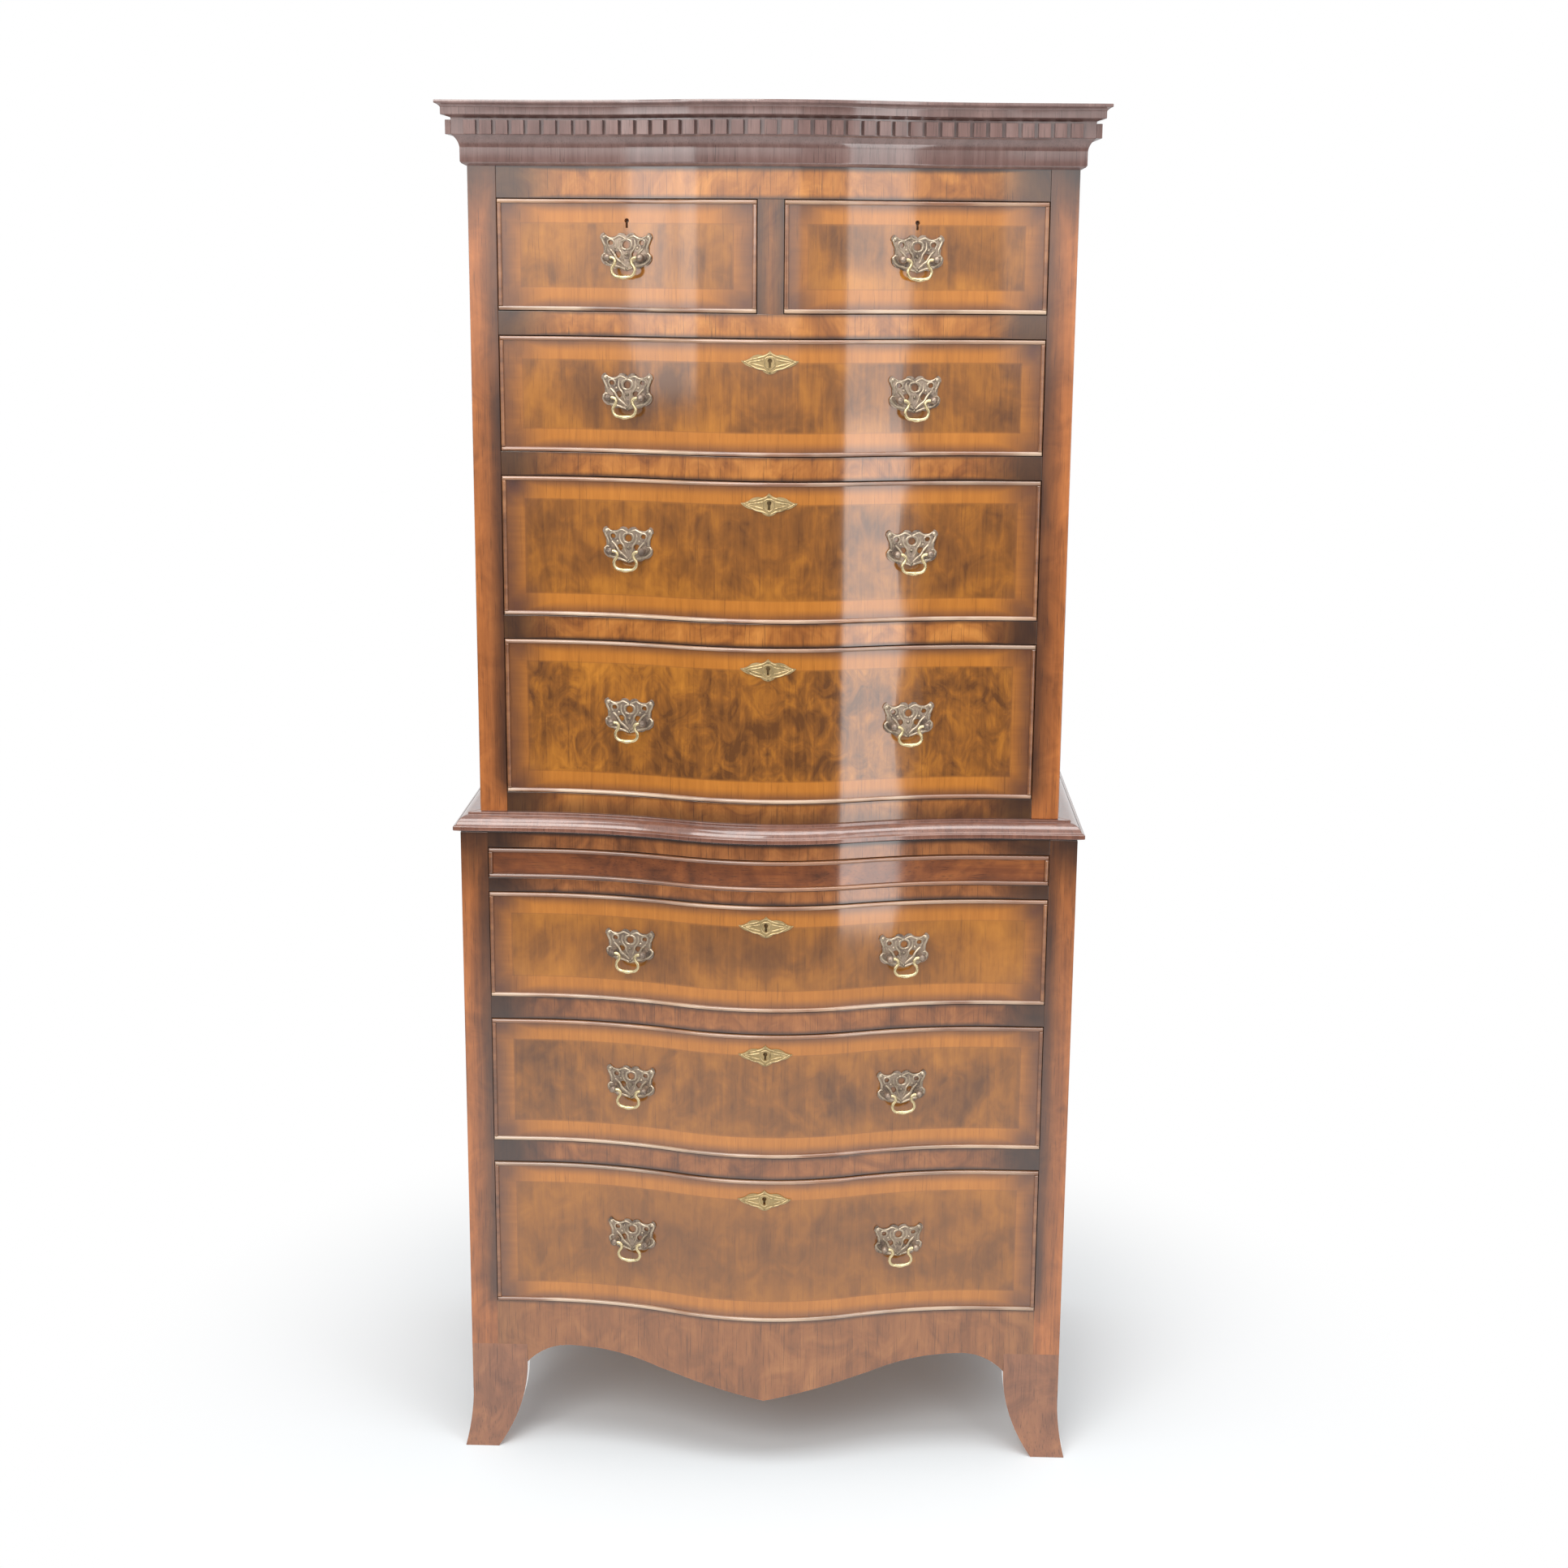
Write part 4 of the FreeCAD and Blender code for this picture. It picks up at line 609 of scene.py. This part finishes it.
def solids(node):
    """The separate solids of a CAD node as new objects, each with its loose triangles merged.

    The triangles of a node come solid by solid, and a solid is complete once each edge met its other side.
    """
    source = nodes[node].data
    unmet, faces, found = set(), [], []
    for face in source.polygons:
        corners = [tuple(round(value, 6) for value in source.vertices[corner].co) for corner in face.vertices]
        if len(set(corners)) == 3:
            for edge in zip(corners, corners[1:] + corners[:1]):
                unmet.symmetric_difference_update({edge[::-1] if edge[::-1] in unmet else edge})
            faces.append(corners)
        if faces and not unmet:
            places = sorted({corner for triangle in faces for corner in triangle})
            index = {place: number for number, place in enumerate(places)}
            mesh = bpy.data.meshes.new(f"{node}_solid")
            mesh.from_pydata(places, [], [[index[corner] for corner in triangle] for triangle in faces])
            found.append(bpy.data.objects.new(f"{node}_solid", mesh))
            bpy.context.scene.collection.objects.link(found[-1])
            faces = []
    return found


def joined(things, name):
    """Makes one object of several, with its flat faces whole."""
    only(*things)
    if len(things) > 1:
        bpy.ops.object.join()
    bpy.context.object.name = name
    bpy.ops.object.mode_set(mode="EDIT")
    bpy.ops.mesh.select_all(action="SELECT")
    bpy.ops.mesh.dissolve_limited(angle_limit=FLAT)
    bpy.ops.object.mode_set(mode="OBJECT")
    return bpy.context.object


def bevel_where(thing, test, width, segments):
    """Bevels the edges that pass a test, and keeps the faces beside them flat to the light."""
    only(thing)
    bpy.ops.object.mode_set(mode="EDIT")
    bpy.ops.mesh.select_mode(type="EDGE")
    bpy.ops.mesh.select_all(action="DESELECT")
    shape = bmesh.from_edit_mesh(thing.data)
    for edge in shape.edges:
        if len(edge.link_faces) == 2 and test(edge):
            edge.select_set(True)
    bmesh.update_edit_mesh(thing.data)
    bpy.ops.mesh.bevel(offset=width, segments=segments, profile=0.5, affect="EDGES", clamp_overlap=True)
    bpy.ops.object.mode_set(mode="OBJECT")
    bpy.ops.object.shade_smooth_by_angle(angle=SMOOTH_CASE)
    bpy.ops.object.modifier_add(type="WEIGHTED_NORMAL")
    flatten = thing.modifiers[-1]
    flatten.keep_sharp = True
    flatten.weight = 100
    bpy.ops.object.modifier_apply(modifier=flatten.name)


def crisp(edge):
    """True where two faces meet at a clear angle."""
    return edge.calc_face_angle(0) > CRISP


def settle(piece, body, material, slot, *replaced):
    """Gives a finished piece its material, its body and the nodes it stands for."""
    piece.data.materials.clear()
    piece.data.materials.append(material)
    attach(piece, body)
    if replaced:
        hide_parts(*replaced)


finishes = bpy.data.materials
CASE_PIECES = {
    "upper_case_sides": (finishes["upper_side_walnut"], "case_wood", 0.0012),
    "lower_case_sides": (finishes["lower_side_walnut"], "case_wood", 0.0012),
    "upper_rails": (finishes["upper_rail_walnut"], "case_wood", 0.0005),
    "lower_rails": (finishes["lower_rail_walnut"], "case_wood", 0.0005),
    "cornice_moulding": (cornice_walnut, "moulding_wood", 0.0006),
    "waist_moulding": (waist_walnut, "moulding_wood", 0.0006),
    "dentil_course": (dentil_walnut, "moulding_wood", 0.0005),
    "apron": (apron_walnut, "veneered_wood", 0.0006),
    "bracket_feet": (foot_walnut, "case_wood", 0.0006),
}
foot_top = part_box("bracket_feet")[1].z


def rubbed_edge(edge):
    """A crisp edge, other than where a foot meets the case and the veneer runs on."""
    return crisp(edge) and all(abs(corner.co.z - foot_top) > 0.0005 for corner in edge.verts)


for node, (material, slot, width) in CASE_PIECES.items():
    piece = joined(solids(node), f"{node}_softened")
    bevel_where(piece, rubbed_edge, width, 2)
    settle(piece, "case", material, slot, node)
    print(node, len(nodes[node].data.polygons), "to", len(piece.data.polygons), "faces")

# %% [markdown]
# Round each front runs a cock bead, a thin strip that stands proud of the veneer and has a rounded nose. It
# catches a bright line of light on every drawer. The strips are loose solids in the CAD front, so the copy
# is kept apart by solids, and only the edges beside the nose of a strip are bevelled, almost to half round.


# %% Panels and cock beads
NOSE = 0.0021
STRIP = 0.006
SMOOTH_PANEL = math.radians(30)


def on_nose(edge):
    """True where the front face of a strip meets one of its sides."""
    looks = sorted(face.normal.y for face in edge.link_faces)
    return looks[0] < -0.6 and looks[1] > -0.3


def spans(thing):
    """How far a mesh reaches along X, Y and Z."""
    places = [corner.co for corner in thing.data.vertices]
    return [max(place[axis] for place in places) - min(place[axis] for place in places) for axis in range(3)]


def slim(thing):
    """True for a strip, narrow in X or Z."""
    return min(spans(thing)[0], spans(thing)[2]) < STRIP


def beaded(node, body):
    """Rounds the bead of a front, and gives back the other solids of the node."""
    found = solids(node)
    others = [solid for solid in found if not slim(solid)]
    bead = joined([solid for solid in found if slim(solid)], f"{body}_cock_bead")
    bevel_where(bead, on_nose, NOSE, 4)
    settle(bead, body, bead_walnut, "veneered_wood", node)
    return others


for drawer, material in veneers.items():
    board = joined(beaded(f"{drawer}_front", drawer), f"{drawer}_panel")
    bpy.ops.object.shade_smooth_by_angle(angle=SMOOTH_PANEL)
    settle(board, drawer, material, "veneered_wood", f"{drawer}_front")
    print(drawer, "panel", len(board.data.polygons), "faces")

# %% [markdown]
# Under the waist sits the brushing slide, a board that pulls out to lay clothes on. Only its narrow front
# shows, with a bead above and below and no handle. It is treated as a drawer is, but with the grain of its
# front running along, and its board is left in plain walnut.

# %% Brushing slide
SLIDE_TONES = ((80, 42, 22), (122, 66, 32), (158, 92, 42))
slide_walnut = timber("slide_walnut", SLIDE_TONES, "X", 6.1, mottle=0.4)
slide_solids = beaded("brushing_slide", "brushing_slide")
slide_board = joined(slide_solids, "brushing_slide_board")
bevel_where(slide_board, crisp, 0.0006, 2)
settle(slide_board, "brushing_slide", slide_walnut, "case_wood", "brushing_slide")
print("slide board", len(slide_board.data.polygons), "faces")

# %% [markdown]
# The bail is a swan-neck: it leaves its two posts, turns down, swings in at the neck and out at the hips, and
# swells in the grip. A bent curve with a bevel could do it, but spinning a ring of edges round the centre of
# each bend gives exactly the arcs of the CAD wire. Half is made, then mirrored, and its ends are closed.

# %% Swan-neck bail
WIRE = 0.0018
PIN_END, SHOULDER_X = 0.0195, 0.0132
SHOULDER, NECK, HIP = 0.004, 0.006, 0.007
DIAGONAL = math.sqrt(0.5)
SMOOTH_CASTING = math.radians(60)
throat_x = SHOULDER_X - SHOULDER
neck_end = Vector((throat_x + NECK * (1 - DIAGONAL), 0, -SHOULDER - NECK * DIAGONAL))
hip_centre = neck_end + HIP * Vector((-DIAGONAL, 0, -DIAGONAL))
BENDS = [
    ((SHOULDER_X, 0, -SHOULDER), 90, 6),
    ((throat_x + NECK, 0, -SHOULDER), 45, 4),
    (tuple(hip_centre), -135, 9),
]

bpy.ops.object.select_all(action="DESELECT")
upright = (0, math.pi / 2, 0)
bpy.ops.mesh.primitive_circle_add(vertices=16, radius=WIRE, location=(PIN_END, 0, 0), rotation=upright)
bail = bpy.context.object
bail.name = "bail_pattern"
bpy.ops.object.transform_apply()
bpy.ops.object.mode_set(mode="EDIT")
bpy.ops.mesh.select_mode(type="EDGE")
bpy.ops.mesh.select_all(action="SELECT")
bpy.ops.mesh.extrude_region_move(TRANSFORM_OT_translate={"value": (SHOULDER_X - PIN_END, 0, 0)})
for centre, angle, steps in BENDS:
    bpy.ops.mesh.spin(steps=steps, angle=math.radians(angle), center=centre, axis=(0, 1, 0))
grip_x, grip_z = hip_centre.x, hip_centre.z - HIP
for swell, sag in ((1.16, 0.0004), (1.12, 0.0003), (1.06, 0.0001)):
    bpy.ops.mesh.extrude_region_move(TRANSFORM_OT_translate={"value": (-hip_centre.x / 3, 0, -sag)})
    grip_x -= hip_centre.x / 3
    grip_z -= sag
    bpy.ops.transform.resize(value=(1, swell, swell), center_override=(grip_x, 0, grip_z))
bpy.ops.object.mode_set(mode="OBJECT")
mirror = bail.modifiers.new("mirror", "MIRROR")
mirror.use_axis = (True, False, False)
mirror.merge_threshold = 0.0001
bpy.ops.object.modifier_apply(modifier="mirror")
bpy.ops.object.mode_set(mode="EDIT")
bpy.ops.mesh.select_all(action="SELECT")
bpy.ops.mesh.fill_holes(sides=0)
bpy.ops.mesh.normals_make_consistent(inside=False)
bpy.ops.object.mode_set(mode="OBJECT")
bpy.ops.object.shade_smooth_by_angle(angle=SMOOTH_CASTING)
print("bail spans", [round(1000 * span, 1) for span in spans(bail)], "mm")

# %% [markdown]
# Behind the bail lies a cast plate with scrolls, a fan of leaves and a knob on each ear. The CAD plate has
# its outline and piercings. The relief on top is drawn as smooth NURBS lines with a round section that
# tapers, and small domes. One half is drawn and mirrored, and the whole relief is then laid on the hollow of
# the front.


# %% Relief of the plates
def scroll(points, thick):
    """A rib along a smooth line of points: X, Z and how full it is there."""
    bpy.ops.object.select_all(action="DESELECT")
    bpy.ops.curve.primitive_nurbs_path_add()
    rib = bpy.context.object
    line = rib.data.splines[0]
    line.points.add(max(0, len(points) - len(line.points)))
    for point, (x, z, fullness) in zip(line.points, points):
        point.co = (x / 1000, 0, z / 1000, 1)
        point.radius = fullness
    line.order_u = 3
    line.use_endpoint_u = True
    line.resolution_u = 4
    rib.data.bevel_depth = thick / 1000
    rib.data.bevel_resolution = 2
    rib.data.use_fill_caps = True
    bpy.ops.object.convert(target="MESH")
    return bpy.context.object


def dome(x, z, radius, height):
    """A low round knob."""
    bpy.ops.object.select_all(action="DESELECT")
    middle = (x / 1000, 0, z / 1000)
    bpy.ops.mesh.primitive_uv_sphere_add(segments=14, ring_count=8, radius=radius / 1000, location=middle)
    bpy.ops.transform.resize(value=(1, height / radius, 1))
    bpy.ops.object.transform_apply()
    return bpy.context.object


def mirrored(things, name):
    """Joins the half of a relief and mirrors it across its middle."""
    only(*things)
    bpy.ops.object.join()
    relief = bpy.context.object
    relief.name = name
    turn_over = relief.modifiers.new("mirror", "MIRROR")
    turn_over.use_axis = (True, False, False)
    turn_over.use_mirror_merge = False
    bpy.ops.object.modifier_apply(modifier="mirror")
    bpy.ops.object.mode_set(mode="EDIT")
    bpy.ops.mesh.select_all(action="SELECT")
    bpy.ops.mesh.normals_make_consistent(inside=False)
    bpy.ops.object.mode_set(mode="OBJECT")
    bpy.ops.object.shade_smooth_by_angle(angle=SMOOTH_CASTING)
    return relief


PLATE_RIBS = [
    (1.3, [(0.8, -12.8, 0.7), (5, -11.2, 1), (10, -9.6, 1.1), (16, -8, 1.1), (21, -6.2, 1.1)]),
    (1.3, [(20, -6.6, 1.1), (25.4, -2.6, 1.2), (27, 1.6, 1.1), (24.4, 4.6, 0.8), (22.2, 3.4, 0.6)]),
    (
        1.3,
        [(23, 5.4, 0.7), (22.6, 9.5, 1), (25.2, 15, 1.1), (27.2, 19.6, 1.1), (25, 23.4, 1), (22, 22.4, 0.7)],
    ),
    (
        1.2,
        [(22.1, 22, 0.7), (17.2, 19.2, 1), (12.3, 20.2, 1.1), (8.2, 23, 1), (3.6, 21, 0.9), (0.8, 19.6, 0.7)],
    ),
    (1.5, [(1.4, -9.4, 0.6), (5.4, -5.4, 1), (11, -2, 1.2), (14, 5, 1.1), (19, 9.4, 0.8)]),
    (1.1, [(19, 10.8, 0.7), (21.6, 14, 1), (20.2, 19, 1), (15, 19, 1.1), (13.2, 14.6, 0.9), (15, 12, 0.6)]),
    (1.2, [(0.4, 19, 0.8), (5, 18.6, 1), (6.2, 13.6, 1.1), (4.6, 8.8, 1), (0.4, 8.4, 0.8)]),
    (1.1, [(2.4, -3.6, 0.6), (5, 1, 1), (5.2, 5.4, 1.2), (9, 9, 1.1), (10.4, 14, 0.9), (9.2, 18.4, 0.6)]),
]
PLATE_KNOBS = [
    (24.8, 21.2, 2.5, 2.2),
    (26.6, 1.4, 1.7, 1.5),
    (12.4, 9.8, 1.5, 1.4),
    (0, 3, 2, 1.8),
    (0, -11.6, 1.8, 1.5),
]
plate_half = [scroll(points, thick) for thick, points in PLATE_RIBS]
plate_half += [dome(*knob) for knob in PLATE_KNOBS]
plate_relief = mirrored(plate_half, "plate_relief_pattern")
HOLLOW_RADIUS = 0.508
PIN_TO_PLATE = 0.01154
RELIEF_SINK = 0.0001
for corner in plate_relief.data.vertices:
    corner.co.y += PIN_TO_PLATE + RELIEF_SINK - corner.co.x**2 / (2 * HOLLOW_RADIUS)
print("plate relief", len(plate_relief.data.polygons), "faces")

# %% [markdown]
# Each handle has its own hinge in the record: a point on the pin and the axis along it. The axis gives the
# way the front turns there, so the patterns for bail and relief are copied to each hinge with one matrix. A
# bail rides on its own body and swings, while the relief rides on the drawer.


# %% Fourteen handles
def copy_to(pattern, name, matrix):
    """A copy of a pattern with a mesh of its own, moved to its place."""
    copy = bpy.data.objects.new(name, pattern.data.copy())
    copy.data.transform(matrix)
    bpy.context.scene.collection.objects.link(copy)
    return copy


hinges = [joint for joint in frame["joints"] if joint["type"] == "hinge"]
for hinge in hinges:
    along = -Vector(hinge["axis"]).normalized()
    inward = Vector((-along.y, along.x, 0))
    turn = Matrix((along, inward, Vector((0, 0, 1)))).transposed().to_4x4()
    place = Matrix.Translation(hinge["pos_m"]) @ turn
    grip = copy_to(bail, f"{hinge['child']}_swelled", place)
    settle(grip, hinge["child"], bail_brass, "brass", hinge["child"])
    relief = copy_to(plate_relief, f"{hinge['child']}_plate_relief", place)
    settle(relief, hinge["parent"], relief_brass, "brass")
for pattern in (bail, plate_relief):
    bpy.data.objects.remove(pattern)
print(len(hinges), "handles hung")

# %% [markdown]
# The keyholes of the long drawers are covered by small winged plates of paler brass. The CAD plate has the
# outline and the hole. Its relief is a collar round the hole, two leaves on each wing and a bead at the tips.

# %% Escutcheon relief
WING_RIBS = [
    (0.9, [(0.6, -10.4, 0.6), (4.6, -7.6, 1), (9, -6.4, 1), (14, -5.6, 1), (20, -2.6, 0.9), (26, 0.8, 0.7)]),
    (0.9, [(26, 1.8, 0.6), (20.5, 4.2, 0.9), (15, 5, 1), (9.6, 6.6, 1), (4.8, 7.8, 1), (0.6, 10.6, 0.6)]),
    (0.9, [(6.6, -3.4, 0.7), (10, -2.8, 1), (14, -1.6, 1.1), (18.6, -0.4, 0.9), (23, 0.9, 0.5)]),
    (0.9, [(6.6, 4, 0.7), (10, 3, 1), (14, 2.4, 1.1), (18.6, 1.8, 0.9), (22.6, 1.4, 0.5)]),
    (0.8, [(0, 6.8, 0.9), (4.6, 6.6, 0.9), (6, 1.8, 0.9), (4.6, -4.6, 0.9), (0, -6.6, 0.9)]),
]
WING_KNOBS = [(27, 1.2, 1.3, 1.2), (0, 9.6, 1.2, 1.1), (0, -10, 1.2, 1.1)]
wing_half = [scroll(points, thick) for thick, points in WING_RIBS]
wing_half += [dome(*knob) for knob in WING_KNOBS]
wing_relief = mirrored(wing_half, "escutcheon_relief_pattern")
BULGE_RADIUS = 0.312
for corner in wing_relief.data.vertices:
    corner.co.y += corner.co.x**2 / (2 * BULGE_RADIUS)
KEYHOLE_DROP = 0.0249
for drawer in VENEERS:
    low, high = fronts[f"{drawer}_front"]
    if low.x < 0 < high.x:
        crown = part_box(f"{drawer}_brassware")[0].y
        place = Matrix.Translation((0, crown, high.z - KEYHOLE_DROP))
        relief = copy_to(wing_relief, f"{drawer}_escutcheon_relief", place)
        settle(relief, drawer, escutcheon_brass, "brass")
        print(drawer, "escutcheon at", round(high.z - KEYHOLE_DROP, 4))
bpy.data.objects.remove(wing_relief)

# %% [markdown]
# What is left is right as the CAD gives it and only needs its finish: oak drawer linings, pine inside the
# cases, the brassware, and the lock bolts, which show in the top edge of an open drawer.


# %% The rest of the frame
def dress(node, material):
    """Puts a material on a CAD node that stays as it is."""
    for slot in nodes[node].material_slots:
        slot.link = "OBJECT"
        slot.material = material


for node in nodes:
    if node.endswith("_box"):
        dress(node, lining_oak)
    elif node.endswith("_lock_bolt"):
        dress(node, bolt_steel)
    elif node.endswith("_brassware"):
        dress(node, plate_brass)
dress("case_boards", case_pine)
dress("drawer_runners", case_pine)
dress("back_panels", back_pine)
dress("drawer_partition", muntin_walnut)
print("the rest dressed")
